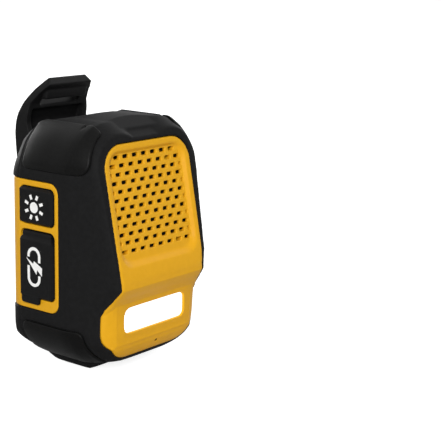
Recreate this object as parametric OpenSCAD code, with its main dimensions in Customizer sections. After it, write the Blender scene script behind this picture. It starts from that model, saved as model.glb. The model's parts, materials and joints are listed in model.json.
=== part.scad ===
// Clip-on jobsite speaker: rubber-cornered housing, grille panel with work light, side keys, spring clip.
// Sizes are millimetres. The front faces -Y, +X is to the right seen from the front, +Z is up.
// The origin is the middle of the foot pad where it stands on the table.

/* [Housing] */
// Width over the side faces of the housing
body_w = 60.8; // [59:0.1:63]
// Height of the housing without the bridge on top
body_top = 90.8; // [90:0.1:93]
// Underside of the housing over the table
body_low = 3.4; // [3:0.1:4]
// Rear face of the housing
rear_y = 22; // [21.8:0.1:23]
// Radius of the upright rear corners
corner_r = 9.4; // [9:0.1:9.6]
// Radius of the top and bottom corners seen from the front
outline_r = 17.5; // [16.5:0.1:18]
// Plane where tub and cover meet
split_y = 14; // [13.9:0.05:14.1]
// Height of the raised bridge over the top
bridge_rise = 0.9; // [0.5:0.1:1.2]
// Width of the raised bridge
bridge_w = 28; // [24:0.5:31]

/* [Foot] */
// Width of the foot where it stands
foot_w = 35.6; // [32:0.2:37]
// Length of the foot from front to rear
foot_l = 18.2; // [16.5:0.1:19]
// Height of the foot pad
pad_h = 1.3; // [1.1:0.05:1.6]

/* [Corner pads] */
// How far a corner pad stands proud of the housing
pad_proud = 0.8; // [0.4:0.1:1.2]
// How deep a corner pad is let into the housing
pad_sink = 0.6; // [0.4:0.1:1]

/* [Grille panel] */
// Thickness of the panel from front to back
panel_t = 3; // [2.8:0.05:3.3]
// Housing left beside the grille
panel_edge = 7.8; // [7.4:0.1:8.2]
// Housing left beside the light
panel_low_edge = 5.1; // [4.8:0.1:5.4]
// Gap round the panel
panel_gap = 0.2; // [0.1:0.05:0.3]
// Depth of the grille field under the rim
field_d = 1.6; // [1.3:0.1:1.8]
// Length of one sound slot
slot_w = 3.1; // [2.6:0.1:3.3]
// Height of one sound slot
slot_h = 1.35; // [1.2:0.05:1.6]
// Sideways pitch of the sound slots
slot_px = 4.85; // [4.7:0.05:4.95]
// Upright pitch of the sound slots
slot_pz = 2.93; // [2.8:0.01:2.95]

/* [Work light] */
// Width of the lit window
window_w = 32.8; // [30:0.2:33.4]
// Height of the lit window
window_h = 9.7; // [9:0.1:10]
// Middle of the window over the table
window_z = 21.5; // [21.3:0.1:21.7]

/* [Side panels and keys] */
// Thickness of a side panel
side_t = 2; // [1.9:0.05:2.1]
// How far a side panel lies under the housing face
side_in = 0.4; // [0.2:0.05:0.6]
// Width of the keys from front to rear
key_w = 16.6; // [15.5:0.1:16.8]
// Middle of the keys from front to rear
key_y = 4.8; // [4.7:0.05:4.9]
// Underside of the upper key
key_z = 54.3; // [53.8:0.1:54.6]
// Height of the upper key
key_h = 13.2; // [12.6:0.1:13.5]
// How far a key can be pressed
key_travel = 0.5; // [0.3:0.05:0.6]
// Gap round a key in its opening
key_gap = 0.25; // [0.2:0.05:0.35]
// How far a key stands proud of the side panel
key_proud = 1.3; // [1:0.05:1.5]
// Draft of a key's sides up to its face
key_draft = 0.9; // [0.5:0.05:1.1]

/* [Clip] */
// Outer face of the clip
clip_y = 29; // [28.8:0.1:29.8]
// Width of the clip blade
clip_w = 27.6; // [26.5:0.1:28]
// Width of the clip at its shoulders
shoulder_w = 31.6; // [30.8:0.1:32.4]
// Thickness of the clip blade
clip_t = 2.6; // [2.3:0.1:2.8]
// Gap between the clip flanges and the rear face
flange_gap = 0.4; // [0.3:0.05:0.8]
// Lower end of the clip
clip_low = 12.8; // [12.4:0.1:13]
// Height where the blade starts to curl forward
curl_z = 80.6; // [79.5:0.1:82]
// Radius of the curl
curl_r = 29.6; // [29:0.1:30.5]
// Width of the lanyard slot
lanyard_w = 19; // [16:0.5:20]
// Height of the lanyard slot
lanyard_h = 5; // [4.6:0.1:5.4]

/* [Clip hinge] */
// Hinge axis from front to rear
pivot_y = 20.6; // [20.5:0.05:20.9]
// Hinge axis over the table
pivot_z = 75; // [74.5:0.1:75.5]
// Diameter of the hinge pin
pin_d = 3; // [2.6:0.1:3.2]
// Running clearance of the pin on its radius
pin_gap = 0.05; // [0.03:0.01:0.08]
// Wire of the clip spring
spring_wire = 0.9; // [0.7:0.05:0.95]
// Radius of the spring's turns to the middle of the wire
spring_r = 2.7; // [2.6:0.05:2.8]
// Distance between the turns of the spring
spring_pitch = 1.4; // [1.38:0.01:1.44]

/* [Hidden] */
$fn = 48;
eps = 0.01;
hw = body_w / 2;
face_x = hw - side_in;
pocket_x = face_x - side_t;
cav_x = pocket_x - 2;
panel_x = hw - panel_edge;
panel_low_x = hw - panel_low_edge;
board_t = 1.2;
board_x = cav_x - 4;
board_face = board_x + board_t;
tray_x = board_x - 1.4;
pack_x = tray_x - 1.4;
post_x = tray_x - 5.6;
lip = 0.4;
neck_y = -29.6;
neck_z = 34;
lean_k = 0.204;
lean = atan(lean_k);
low_y = -24.7;
low_z = 28.5;
chamfer_y = -9.3;
cut_k = 0.32;
arch_k = 0.52;
nose_r = 17;
nose_x = hw - nose_r;
nose_z = body_top - nose_r + 0.2;
nose_tilt = atan(arch_k) - atan(cut_k);
chin_k = 0.18;
chin_r = 17;
chin_x = hw - chin_r;
chin_z = body_low + chin_r - 0.5;
chin_tilt = atan(cut_k) - atan(chin_k);
crease_z = 12.6;
rear_top_r = 19;
rear_low_r = 16;
corner_x = hw - corner_r;
corner_y = rear_y - corner_r;
side_r = corner_r - side_in;
side_ri = side_r - side_t;
arch_z = body_top - 5.2;
arch_y = -9.4;
panel_top = arch_z - 1.8;
panel_low = body_low + 3.6;
cav_top = body_top - 6.8;
cav_low = body_low + 4;
pad_top_z = 74;
pad_low_z = 18.2;
pad_x = hw - 10.9;
pad_y0 = -16;
pad_y1 = split_y - 1.4;
pad_front = 2.3;
pad_r = 4;
pad_rear_r = 2.6;
side_z0 = 23;
side_z1 = 69.8;
side_y0 = -5.4;
back_x = 20;
key_y0 = key_y - key_w / 2;
key_y1 = key_y + key_w / 2;
low_key_z0 = 24.6;
low_key_z1 = 51.8;
low_key_mid = 37.5;
flap_z0 = 27.4;
flap_z1 = low_key_z1;
flap_r = 1;
flap_x = face_x - 0.7;
flap_axis = flap_z1 - flap_r - 0.15;
key_x = face_x + key_proud;
key_back = pocket_x - 0.1;
flange_t = 0.9;
flange_rim = 0.9;
post_end = key_back - flange_t - 0.9;
switch_top = post_end - key_travel;
usb_z = 39.2;
usb_mouth = pocket_x - 0.6;
chan_y = 16.2;
chan_x = clip_w / 2 + 1.2;
chan_top_x = shoulder_w / 2 + 1;
chan_low = 16;
heel_z = 11.2;
knuckle_r = 3.8;
ear_r = 4;
ear_in = clip_w / 2 - 2.4;
ear_out = shoulder_w / 2 - 2.2;
knuckle_in = 4.6;
flange_d = clip_y - rear_y - flange_gap;
curl_y = clip_y - curl_r;
curl_end = 48;
head_t = 3.4;
screw_x = 12;
screw_low = 19;
screw_top = 81.5;
screw_r = 1.2;
drive_z = 62;
drive_y = neck_y + lean_k * (drive_z - neck_z) + panel_t;
boss_l = 3.2;
boss_at = 15.2;
tray_y = 5.4;
main_y = 3;
light_back = low_y + panel_t;
light_flange = 1.2;
light_x = window_w / 2 + 1.6;
light_z = window_h / 2 + 1.45;
light_deep = 3;
led_y = light_back + light_flange + light_deep;
mic_x = 2;
mic_z = 10.3;
mic_y = -17;

// drawing planes: profiles drawn in YZ, XZ or XY and pushed along the third axis
module yz(x0, x1) {
    translate([x0, 0, 0])
        rotate([90, 0, 90])
            linear_extrude(height = x1 - x0)
                children();
}

module xz(y0, y1) {
    translate([0, y1, 0])
        rotate([90, 0, 0])
            linear_extrude(height = y1 - y0)
                children();
}

module xy(z0, z1) {
    translate([0, 0, z0])
        linear_extrude(height = z1 - z0)
            children();
}

module box(x0, x1, y0, y1, z0, z1) {
    translate([x0, y0, z0])
        cube([x1 - x0, y1 - y0, z1 - z0]);
}

module rod_x(x0, x1, y, z, r) {
    translate([x0, y, z])
        rotate([0, 90, 0])
            cylinder(h = x1 - x0, r = r);
}

module rod_y(x, y0, y1, z, r) {
    translate([x, y0, z])
        rotate([-90, 0, 0])
            cylinder(h = y1 - y0, r = r);
}

module rrect(u0, u1, v0, v1, r) {
    translate([u0 + r, v0])
        square([u1 - u0 - 2 * r, v1 - v0]);
    translate([u0, v0 + r])
        square([u1 - u0, v1 - v0 - 2 * r]);
    for (u = [u0 + r, u1 - r])
        for (v = [v0 + r, v1 - r])
            translate([u, v])
                circle(r = r);
}

// outer form of the housing, grown by g
module outline2(g) {
    rrect(-hw - g, hw + g, body_low - g, body_top + g, outline_r + g);
}

module plan2(g) {
    far_x = hw + g - cut_k * (chamfer_y + 45);
    polygon([[hw + g, chamfer_y], [hw + g, corner_y], [-hw - g, corner_y],
        [-hw - g, chamfer_y], [-far_x, -45], [far_x, -45]]);
    translate([-corner_x, corner_y - 1])
        square([2 * corner_x, corner_r + g + 1]);
    for (s = [-1, 1])
        translate([s * corner_x, corner_y])
            circle(r = corner_r + g);
}

module side2(g) {
    polygon([[-45, body_low - g], [rear_y - rear_low_r, body_low - g], [rear_y - rear_low_r, body_low + rear_low_r],
        [rear_y + g, body_low + rear_low_r], [rear_y + g, body_top - rear_top_r],
        [rear_y - rear_top_r, body_top - rear_top_r], [rear_y - rear_top_r, body_top + g], [-45, body_top + g]]);
    translate([rear_y - rear_top_r, body_top - rear_top_r])
        circle(r = rear_top_r + g);
    translate([rear_y - rear_low_r, body_low + rear_low_r])
        circle(r = rear_low_r + g);
}

// everything behind the stepped front face, moved back by d
module front_form(d) {
    step_k = (low_y - neck_y) / (neck_z - low_z);
    translate([0, d, 0])
        yz(-50, 50)
            polygon([[60, 120], [neck_y + lean_k * (120 - neck_z), 120], [neck_y, neck_z],
                [neck_y + step_k * (neck_z + 20), -20], [60, -20]]);
    translate([0, d, 0])
        intersection() {
            yz(-50, 50)
                polygon([[60, 40], [low_y, 40], [low_y, crease_z], [low_y + 0.84 * 25, crease_z - 25],
                    [60, crease_z - 25]]);
            xy(-20, 60)
                polygon([[-60, low_y + 0.66 * 39.5], [-20.5, low_y], [20.5, low_y],
                    [60, low_y + 0.66 * 39.5], [60, 60], [-60, 60]]);
        }
}

// tapered nose: sloping arch over the grille, cones round its four corners
module nose(g) {
    top_r = nose_r + g + 0.3;
    low_r = chin_r + g + 0.3;
    y0 = chamfer_y + 1;
    axis_k = tan(chin_tilt);
    box(-60, 60, chamfer_y, 60, -20, 130);
    yz(-60, 60)
        polygon([[-50, chin_z + axis_k * (-50 - chamfer_y)], [y0, chin_z + axis_k], [y0, nose_z], [-50, nose_z]]);
    yz(-nose_x, nose_x)
        polygon([[-50, chin_z], [y0, chin_z], [y0, body_top + g + arch_k * (y0 - arch_y)],
            [-50, body_top + g + arch_k * (-50 - arch_y)]]);
    yz(-chin_x, chin_x)
        polygon([[-50, body_low - g - 0.5 + chin_k * (chamfer_y + 50)], [y0, body_low - g - 0.5 - chin_k],
            [y0, chin_z + 1], [-50, chin_z + 1]]);
    for (s = [-1, 1]) {
        translate([s * nose_x, chamfer_y, nose_z])
            rotate([90 + nose_tilt, 0, 0])
                translate([0, 0, -2])
                    cylinder(h = 32, r1 = top_r + 2 * cut_k, r2 = top_r - 30 * cut_k);
        translate([s * chin_x, chamfer_y, chin_z])
            rotate([90 + chin_tilt, 0, 0])
                translate([0, 0, -2])
                    cylinder(h = 32, r1 = low_r + 2 * cut_k, r2 = low_r - 30 * cut_k);
    }
}

module env(g) {
    intersection() {
        nose(g);
        xz(-60, 60)
            outline2(g);
        xy(-20, 130)
            plan2(g);
        yz(-60, 60)
            side2(g);
        front_form(-lip);
    }
}

module foot_block() {
    intersection() {
        xz(-30, 30)
            polygon([[-foot_w / 2, 0.5], [foot_w / 2, 0.5], [foot_w / 2 + 1.6, body_low + 1.3],
                [foot_w / 2 + 1.6, 16], [-foot_w / 2 - 1.6, 16], [-foot_w / 2 - 1.6, body_low + 1.3]]);
        yz(-30, 30)
            polygon([[-foot_l / 2, 0.5], [foot_l / 2, 0.5], [rear_y, heel_z], [rear_y, 16],
                [-foot_l / 2 - 3, 16], [-foot_l / 2 - 2.6, body_low]]);
    }
}

module bridge() {
    crown_r = 80;
    intersection() {
        yz(-bridge_w / 2, bridge_w / 2)
            polygon([[rear_y - 15, body_top - 1], [2, body_top + bridge_rise], [-10, body_top + bridge_rise],
                [-16.2, arch_z + 2 + bridge_rise], [-16.2, arch_z - 2], [rear_y - 15, body_top - 5]]);
        xz(-60, 60)
            translate([0, body_top + bridge_rise - crown_r])
                circle(r = crown_r);
    }
}

// outline of a corner pad from the side; the upper pads follow the leaning front
module pad_zone(top, g) {
    y1 = pad_y1 + g;
    z0 = pad_top_z - g;
    cz = z0 + pad_r;
    cy = neck_y + lean_k * (cz - neck_z) + pad_front - g + pad_r / cos(lean);
    yz(pad_x - g, 50)
        if (top) {
            polygon([[cy, z0], [y1 - pad_rear_r, z0], [y1, z0 + pad_rear_r], [y1, 120],
                [neck_y + lean_k * (120 - neck_z) + pad_front - g, 120],
                [cy - pad_r * cos(lean), cz + pad_r * sin(lean)]]);
            translate([cy, cz])
                circle(r = pad_r);
            translate([y1 - pad_rear_r, z0 + pad_rear_r])
                circle(r = pad_rear_r);
        }
        else
            rrect(pad_y0 - g, y1, -40, pad_low_z + g, pad_rear_r);
}

// channel for the clip behind the cover
module channel() {
    box(-chan_x, chan_x, chan_y, 60, chan_low, 120);
    box(-chan_top_x, chan_top_x, chan_y, 60, 70.6, 120);
}

// pocket and opening for the grille panel
module panel2(g) {
    translate([-panel_x - g, low_z - 8])
        square([2 * (panel_x + g), panel_top - 9 - low_z + 8]);
    translate([-panel_x + 9, low_z - 8])
        square([2 * (panel_x - 9), panel_top + g - low_z + 8]);
    for (s = [-1, 1])
        translate([s * (panel_x - 9), panel_top - 9])
            circle(r = 9 + g);
    polygon([[-panel_x - g, neck_z + 0.4 * g], [-panel_low_x - g, 26.2], [-panel_low_x - g, panel_low + 12],
        [panel_low_x + g, panel_low + 12], [panel_low_x + g, 26.2], [panel_x + g, neck_z + 0.4 * g]]);
    translate([-panel_low_x + 12, panel_low - g])
        square([2 * (panel_low_x - 12), 14 + g]);
    for (s = [-1, 1])
        translate([s * (panel_low_x - 12), panel_low + 12])
            circle(r = 12 + g);
}

module panel_pocket() {
    difference() {
        xz(-60, 0)
            panel2(panel_gap);
        front_form(panel_t);
    }
}

// hollow of the housing
module cavity() {
    cav_cut = hw - 3.15;
    intersection() {
        xz(-60, split_y)
            rrect(-cav_x, cav_x, cav_low, cav_top, 12);
        xy(-20, 130)
            polygon([[cav_x, 30], [cav_x, chamfer_y - (cav_cut - cav_x) / cut_k],
                [cav_cut - cut_k * (chamfer_y + 45), -45], [-cav_cut + cut_k * (chamfer_y + 45), -45],
                [-cav_x, chamfer_y - (cav_cut - cav_x) / cut_k], [-cav_x, 30]]);
        yz(-60, 60)
            polygon([[-60, 0], [30, 0], [30, cav_top + 1], [-9, cav_top + 1],
                [-16.5, cav_top - 4.4], [-60, cav_top - 4.4]]);
        front_form(panel_t + 2.4);
    }
    intersection() {
        xz(-60, 0)
            panel2(-2.5);
        front_form(panel_t - 1);
    }
    box(-14.5, 14.5, -foot_l / 2 + 2, split_y - 5.5, 2.9, cav_low + 1);
}

// side panels: band lying under the housing face and round the rear corner
module side_rim(g) {
    intersection() {
        yz(0, 60)
            rrect(side_y0 - g, 70, side_z0 - g, side_z1 + g, 4);
        xz(-60, 60)
            rrect(back_x - g, 70, side_z0 - g, side_z1 + g, 1.8);
    }
}

module side_core2(r) {
    translate([0, -20])
        square([corner_x + r, 20 + corner_y]);
    translate([0, -20])
        square([corner_x, 20 + corner_y + r]);
    translate([corner_x, corner_y])
        circle(r = r);
}

module side_pocket(g) {
    difference() {
        side_rim(g);
        xy(0, 100)
            side_core2(side_ri);
    }
}

module side_panel() {
    intersection() {
        side_rim(0);
        xy(0, 100)
            difference() {
                side_core2(side_r);
                side_core2(side_ri);
            }
    }
}

module body() {
    difference() {
        union() {
            env(0);
            foot_block();
            bridge();
        }
        for (s = [0, 1])
            mirror([s, 0, 0]) {
                for (top = [true, false])
                    difference() {
                        pad_zone(top, 0.1);
                        env(-pad_sink);
                    }
                side_pocket(0.15);
            }
        channel();
        panel_pocket();
        cavity();
    }
}

module screw_boss(z, z_wall) {
    for (s = [-1, 1]) {
        rod_y(s * screw_x, 2, split_y, z, 3.2);
        box(s * screw_x - 1.5, s * screw_x + 1.5, 2, split_y, min(z, z_wall), max(z, z_wall));
    }
}

module key_hole(z0, z1) {
    box(cav_x - 1, pocket_x + 1, key_y0 - 1.5, split_y + 1, z0 - 1.4, z1 + 1.4);
}

module front_housing() {
    color([0.09, 0.09, 0.09])
        difference() {
            union() {
                intersection() {
                    body();
                    box(-60, 60, -60, split_y, -20, 130);
                }
                screw_boss(screw_low, cav_low - 1);
                screw_boss(screw_top, cav_top + 1);
                for (s = [0, 1])
                    mirror([s, 0, 0])
                        for (z = [20, 72])
                            box(board_face, cav_x + 0.6, -6, 12, z, z + 2);
                intersection() {
                    box(mic_x - 3.6, mic_x + 3.6, -40, -13, cav_low - 1, window_z - light_z - 0.2);
                    front_form(panel_t);
                }
            }
            for (s = [-1, 1])
                for (z = [screw_low, screw_top])
                    rod_y(s * screw_x, 4, split_y + 1, z, screw_r + 0.02);
            key_hole(key_z, key_z + key_h);
            key_hole(low_key_z0, low_key_z1);
            mirror([1, 0, 0]) {
                key_hole(key_z, key_z + key_h);
                yz(cav_x - 1, pocket_x + 1)
                    rrect(key_y - 2.8, key_y + 2.8, usb_z - 6, usb_z + 6, 1.5);
            }
            rod_y(mic_x, -40, -10, mic_z, 0.6);
            rod_y(mic_x, mic_y, -10, mic_z, 2.05);
            box(-foot_w / 2 + 1.5, foot_w / 2 - 1.5, -foot_l / 2 + 1.5, foot_l / 2 - 1.5, -1, pad_h);
        }
}

module gasket2(g0, g1) {
    difference() {
        rrect(-cav_x - g1, cav_x + g1, cav_low - g1, cav_top + g1, 12 + g1);
        rrect(-cav_x - g0, cav_x + g0, cav_low - g0, cav_top + g0, 12 + g0);
    }
}

module rear_housing() {
    color([0.09, 0.09, 0.09])
        difference() {
            union() {
                intersection() {
                    body();
                    box(-60, 60, split_y, 60, -20, 130);
                }
                for (s = [0, 1])
                    mirror([s, 0, 0]) {
                        rod_x(knuckle_in, ear_in - 0.4, pivot_y, pivot_z, knuckle_r);
                        box(knuckle_in, ear_in - 0.4, chan_y - 0.5, pivot_y, pivot_z - knuckle_r, pivot_z + knuckle_r);
                    }
            }
            xz(split_y - 1, split_y + 0.8)
                gasket2(0.4, 1.4);
            for (s = [-1, 1]) {
                for (z = [screw_low, screw_top])
                    rod_y(s * screw_x, split_y - 1, chan_y + 5, z, screw_r + 0.25);
                translate([s * 21, 0, 0])
                    box(-1.6, 1.6, split_y - 1, split_y + 3, 26, 66);
            }
            rod_x(-ear_in, ear_in, pivot_y, pivot_z, pin_d / 2 + pin_gap);
        }
}

// twelve staggered rows of sound slots
module slots2() {
    for (row = [0 : 11])
        for (i = [-4 : 4]) {
            x = slot_px * (row % 2 == 0 ? i + 0.5 : i);
            if (abs(x) < slot_px * 4.2)
                translate([x, 46.9 + slot_pz * row])
                    slot_mark();
        }
}

module slot_mark() {
    r = 0.45;
    rrect(-slot_w / 2, slot_w / 2, -slot_h / 2, slot_h / 2, r);
}

module field2(g) {
    rrect(-panel_x + 3.3 + g, panel_x - 3.3 - g, 43.6 + g, panel_top - 3.4 - g, 5.6 - g);
}

module front_panel() {
    color([0.87, 0.65, 0.13])
        difference() {
            union() {
                intersection() {
                    xz(-60, 0)
                        panel2(0);
                    difference() {
                        front_form(0);
                        front_form(panel_t);
                    }
                }
                at_driver()
                    for (x = [-boss_at, boss_at])
                        for (v = [-boss_at, boss_at])
                            translate([x, v, -boss_l])
                                cylinder(h = boss_l + 0.3, r = 2.6);
            }
            for (step = [[0, field_d], [-0.7, 0.7]])
                difference() {
                    xz(-60, 0)
                        field2(step[0]);
                    front_form(step[1]);
                }
            xz(-40, -10)
                intersection() {
                    slots2();
                    field2(0.25);
                }
            xz(-40, -10)
                rrect(-window_w / 2, window_w / 2, window_z - window_h / 2, window_z + window_h / 2, 2.3);
            rod_y(mic_x, -40, -10, mic_z, 0.5);
            at_driver()
                for (x = [-boss_at, boss_at])
                    for (v = [-boss_at, boss_at])
                        translate([x, v, -boss_l - 1])
                            cylinder(h = boss_l, r = 0.92);
        }
}

// driver axis: origin on the back of the grille, +Z out through the grille
module at_driver() {
    translate([0, drive_y, drive_z])
        rotate([90 - lean, 0, 0])
            children();
}

module acoustic_mesh() {
    color([0.05, 0.05, 0.05])
        difference() {
            intersection() {
                xz(-60, 0)
                    field2(0.4);
                difference() {
                    front_form(panel_t);
                    front_form(panel_t + 0.5);
                }
            }
            at_driver()
                for (x = [-boss_at, boss_at])
                    for (v = [-boss_at, boss_at])
                        translate([x, v, -boss_l])
                            cylinder(h = boss_l + 2, r = 2.7);
        }
}

module driver_basket() {
    color([0.2, 0.2, 0.21]) {
        at_driver()
            difference() {
                union() {
                    rotate_extrude()
                        polygon([[16.8, -boss_l], [19, -boss_l], [19, -boss_l - 1.4], [18, -boss_l - 1.4],
                            [11, -boss_l - 10.8], [7.5, -boss_l - 10.8], [7.5, -boss_l - 9.6],
                            [10.4, -boss_l - 9.6], [16.8, -boss_l - 1.6]]);
                    for (x = [-boss_at, boss_at])
                        for (v = [-boss_at, boss_at])
                            translate([x, v, -boss_l - 1.4])
                                cylinder(h = 1.4, r = 2.8);
                    translate([-5, -19.4, -boss_l - 1.4])
                        cube([10, 2, 1.4]);
                }
                for (x = [-boss_at, boss_at])
                    for (v = [-boss_at, boss_at])
                        translate([x, v, -boss_l - 2])
                            cylinder(h = 3, r = 1.1);
                for (a = [0 : 60 : 300])
                    rotate([0, 0, a + 30])
                        translate([12.8, -2.6, -boss_l - 9])
                            cube([6, 5.2, 6.4]);
            }
        for (s = [-1, 1])
            box(s * 3 - 1, s * 3 + 1, drive_y - 3.9 + 4.3, drive_y + 4, drive_z - 19.8, drive_z - 18.4);
    }
}

module driver_magnet() {
    color([0.16, 0.16, 0.17])
        at_driver()
            difference() {
                translate([0, 0, -boss_l - 17.4])
                    cylinder(h = 6.6, r = 11.5);
                translate([0, 0, -boss_l - 16])
                    difference() {
                        cylinder(h = 10, r = 7.1);
                        translate([0, 0, -1])
                            cylinder(h = 12, r = 5.5);
                    }
            }
}

module driver_cone() {
    color([0.12, 0.12, 0.13])
        at_driver()
            rotate_extrude()
                polygon([[0, -boss_l - 3.3], [2.6, -boss_l - 3.6], [5, -boss_l - 4.6], [6.4, -boss_l - 5.7],
                    [14.6, -boss_l - 0.3], [14.6, -boss_l - 0.9], [6.5, -boss_l - 6.3], [6.5, -boss_l - 13],
                    [6, -boss_l - 13], [6, -boss_l - 6.2], [4.8, -boss_l - 5.2], [2.5, -boss_l - 4.2],
                    [0, -boss_l - 3.9]]);
}

module driver_surround() {
    color([0.04, 0.04, 0.04])
        at_driver() {
            rotate_extrude()
                difference() {
                    translate([15.7, -boss_l])
                        circle(r = 1.5);
                    translate([15.7, -boss_l])
                        circle(r = 1);
                    translate([10, -boss_l - 5])
                        square([10, 5]);
                }
            rotate_extrude()
                translate([16.9, -boss_l])
                    square([1.5, 0.4]);
            rotate_extrude()
                translate([14, -boss_l - 0.3])
                    square([0.7, 0.4]);
        }
}

module driver_screws() {
    color([0.72, 0.72, 0.74])
        at_driver()
            for (x = [-boss_at, boss_at])
                for (v = [-boss_at, boss_at])
                    translate([x, v, 0])
                        difference() {
                            union() {
                                translate([0, 0, -boss_l - 2.8])
                                    cylinder(h = 1.4, r = 1.9);
                                translate([0, 0, -boss_l - 1.5])
                                    cylinder(h = 3.6, r = 0.9);
                            }
                            translate([-1.2, -0.2, -boss_l - 3])
                                cube([2.4, 0.4, 0.9]);
                            translate([-0.2, -1.2, -boss_l - 3])
                                cube([0.4, 2.4, 0.9]);
                        }
}

module light_lens() {
    color([0.97, 0.97, 0.95]) {
        xz(low_y + 0.3, light_back + eps)
            rrect(-window_w / 2 + 0.1, window_w / 2 - 0.1, window_z - window_h / 2 + 0.1,
                window_z + window_h / 2 - 0.1, 2.2);
        xz(light_back, light_back + light_flange)
            rrect(-light_x, light_x, window_z - light_z, window_z + light_z, 2);
    }
}

module light_reflector() {
    color([0.93, 0.93, 0.92])
        xz(light_back + light_flange, led_y)
            difference() {
                rrect(-light_x, light_x, window_z - light_z, window_z + light_z, 2);
                rrect(-light_x + 1.4, light_x - 1.4, window_z - light_z + 1.4, window_z + light_z - 1.4, 1.5);
            }
}

module led_board() {
    color([0.1, 0.3, 0.16])
        box(-light_x, light_x, led_y, led_y + board_t, window_z - light_z, window_z + light_z);
}

module light_leds() {
    color([0.95, 0.88, 0.55])
        for (i = [-2 : 2])
            difference() {
                box(i * 6 - 1.75, i * 6 + 1.75, led_y - 0.8, led_y, window_z - 1.4, window_z + 1.4);
                rod_y(i * 6, led_y - 1, led_y - 0.5, window_z, 1.1);
            }
}

module microphone() {
    color([0.75, 0.75, 0.77])
        difference() {
            rod_y(mic_x, mic_y, mic_y + 1.8, mic_z, 2);
            rod_y(mic_x, mic_y - 1, mic_y + 0.6, mic_z, 0.4);
        }
}

module main_board() {
    color([0.1, 0.3, 0.16])
        difference() {
            box(-pack_x + 0.2, pack_x - 0.2, main_y, main_y + 1.6, screw_low + 3.6, 68);
            for (x = [-post_x, post_x])
                for (z = [28, 62])
                    rod_y(x, main_y - 1, main_y + 3, z, 1.1);
        }
}

module board_parts() {
    color([0.14, 0.14, 0.15]) {
        box(-15, -5, main_y - 0.9, main_y, 34, 44);
        box(6, 12, main_y - 0.9, main_y, 36, 42);
        box(4, 8, main_y - 0.9, main_y, 27, 31);
        box(-6, 0, main_y - 1.2, main_y, 27, 30.5);
        for (i = [0 : 3])
            box(13.8 + 1.3 * i, 14.6 + 1.3 * i, main_y - 0.6, main_y, 44.5, 46);
    }
}

module switch_board() {
    box(board_x, board_face, -6, 13.4, 20, 74);
}

module switch_board_left() {
    color([0.1, 0.3, 0.16])
        mirror([1, 0, 0])
            switch_board();
}

module switch_board_right() {
    color([0.1, 0.3, 0.16])
        switch_board();
}

module tact(z) {
    box(board_face, switch_top - 0.6, key_y - 3, key_y + 3, z - 3, z + 3);
    rod_x(switch_top - 0.7, switch_top, key_y, z, 1.6);
}

module tact_switches() {
    color([0.2, 0.2, 0.21]) {
        tact(key_z + key_h / 2);
        tact((low_key_mid + low_key_z1) / 2);
        tact((low_key_mid + low_key_z0) / 2);
        mirror([1, 0, 0])
            tact(key_z + key_h / 2);
    }
}

module usb_socket() {
    color([0.76, 0.76, 0.78])
        mirror([1, 0, 0]) {
            difference() {
                yz(board_face, usb_mouth)
                    rrect(key_y - 1.65, key_y + 1.65, usb_z - 4.5, usb_z + 4.5, 1.3);
                yz(board_face + 0.8, usb_mouth + 1)
                    rrect(key_y - 1.35, key_y + 1.35, usb_z - 4.2, usb_z + 4.2, 1.1);
            }
            box(board_face + 0.5, usb_mouth - 1, key_y - 0.35, key_y + 0.35, usb_z - 3.3, usb_z + 3.3);
        }
}

module battery_pack() {
    color([0.62, 0.63, 0.66])
        xy(26, 68)
            rrect(-pack_x, pack_x, tray_y + 1.2, split_y - 0.6, 2.2);
}

module battery_tray() {
    color([0.13, 0.13, 0.14])
        difference() {
            union() {
                box(-tray_x, tray_x, tray_y, split_y, 24.6, 69.4);
                for (x = [-post_x, post_x])
                    for (z = [28, 62])
                        rod_y(x, main_y + 1.6, tray_y + 0.2, z, 2);
            }
            box(-pack_x - 0.2, pack_x + 0.2, tray_y + 1.2, split_y + 1, 26, 68);
            for (x = [-post_x, post_x])
                for (z = [28, 62])
                    rod_y(x, main_y, tray_y + 0.9, z, 0.8);
        }
}

module speaker_leads() {
    color([0.55, 0.1, 0.08])
        for (s = [-1, 1])
            rod_y(s * 3, drive_y + 4, main_y, drive_z - 19.1, 0.6);
}

module led_leads() {
    color([0.75, 0.72, 0.65])
        for (s = [-1, 1])
            rod_y(s * 10, led_y + board_t, main_y, 25, 0.6);
}

// cap of a key or of the charging cover: rounded outline f0 to f1, drafted sides, cut to z0 to z1
module cap(x0, z0, z1, f0, f1, low_draft, top_draft) {
    intersection() {
        yz(x0, key_x)
            rrect(key_y0, key_y1, f0, f1, 2);
        xy(z0 - 1, z1 + 1)
            polygon([[x0 - 1, key_y0], [face_x, key_y0], [key_x, key_y0 + key_draft],
                [key_x, key_y1 - key_draft], [face_x, key_y1], [x0 - 1, key_y1]]);
        xz(key_y0 - 1, key_y1 + 1)
            polygon([[x0 - 1, z0], [face_x, z0], [key_x, z0 + low_draft],
                [key_x, z1 - top_draft], [face_x, z1], [x0 - 1, z1]]);
    }
}

// keys: cap through the side panel, rim behind it, post over the switch
module key(z0, z1, f0, f1, low_rim, top_rim, low_draft, top_draft) {
    cap(key_back - eps, z0, z1, f0, f1, low_draft, top_draft);
    yz(key_back - flange_t, key_back)
        rrect(key_y0 - flange_rim, key_y1 + 0.2, z0 - low_rim, z1 + top_rim, 1.2);
    rod_x(post_end, key_back - flange_t + eps, key_y, (z0 + z1) / 2, 2);
}

module upper_key() {
    key(key_z, key_z + key_h, key_z, key_z + key_h, flange_rim, flange_rim, key_draft, key_draft);
}

module light_button() {
    color([0.07, 0.07, 0.07])
        mirror([1, 0, 0])
            upper_key();
}

module power_button() {
    color([0.07, 0.07, 0.07])
        upper_key();
}

module volume_up_button() {
    color([0.07, 0.07, 0.07])
        key(low_key_mid + 0.2, low_key_z1, low_key_z0, low_key_z1, 0, flange_rim, 0.25, key_draft);
}

module volume_down_button() {
    color([0.07, 0.07, 0.07])
        key(low_key_z0, low_key_mid - 0.2, low_key_z0, low_key_z1, flange_rim, 0, key_draft, 0.25);
}

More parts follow.
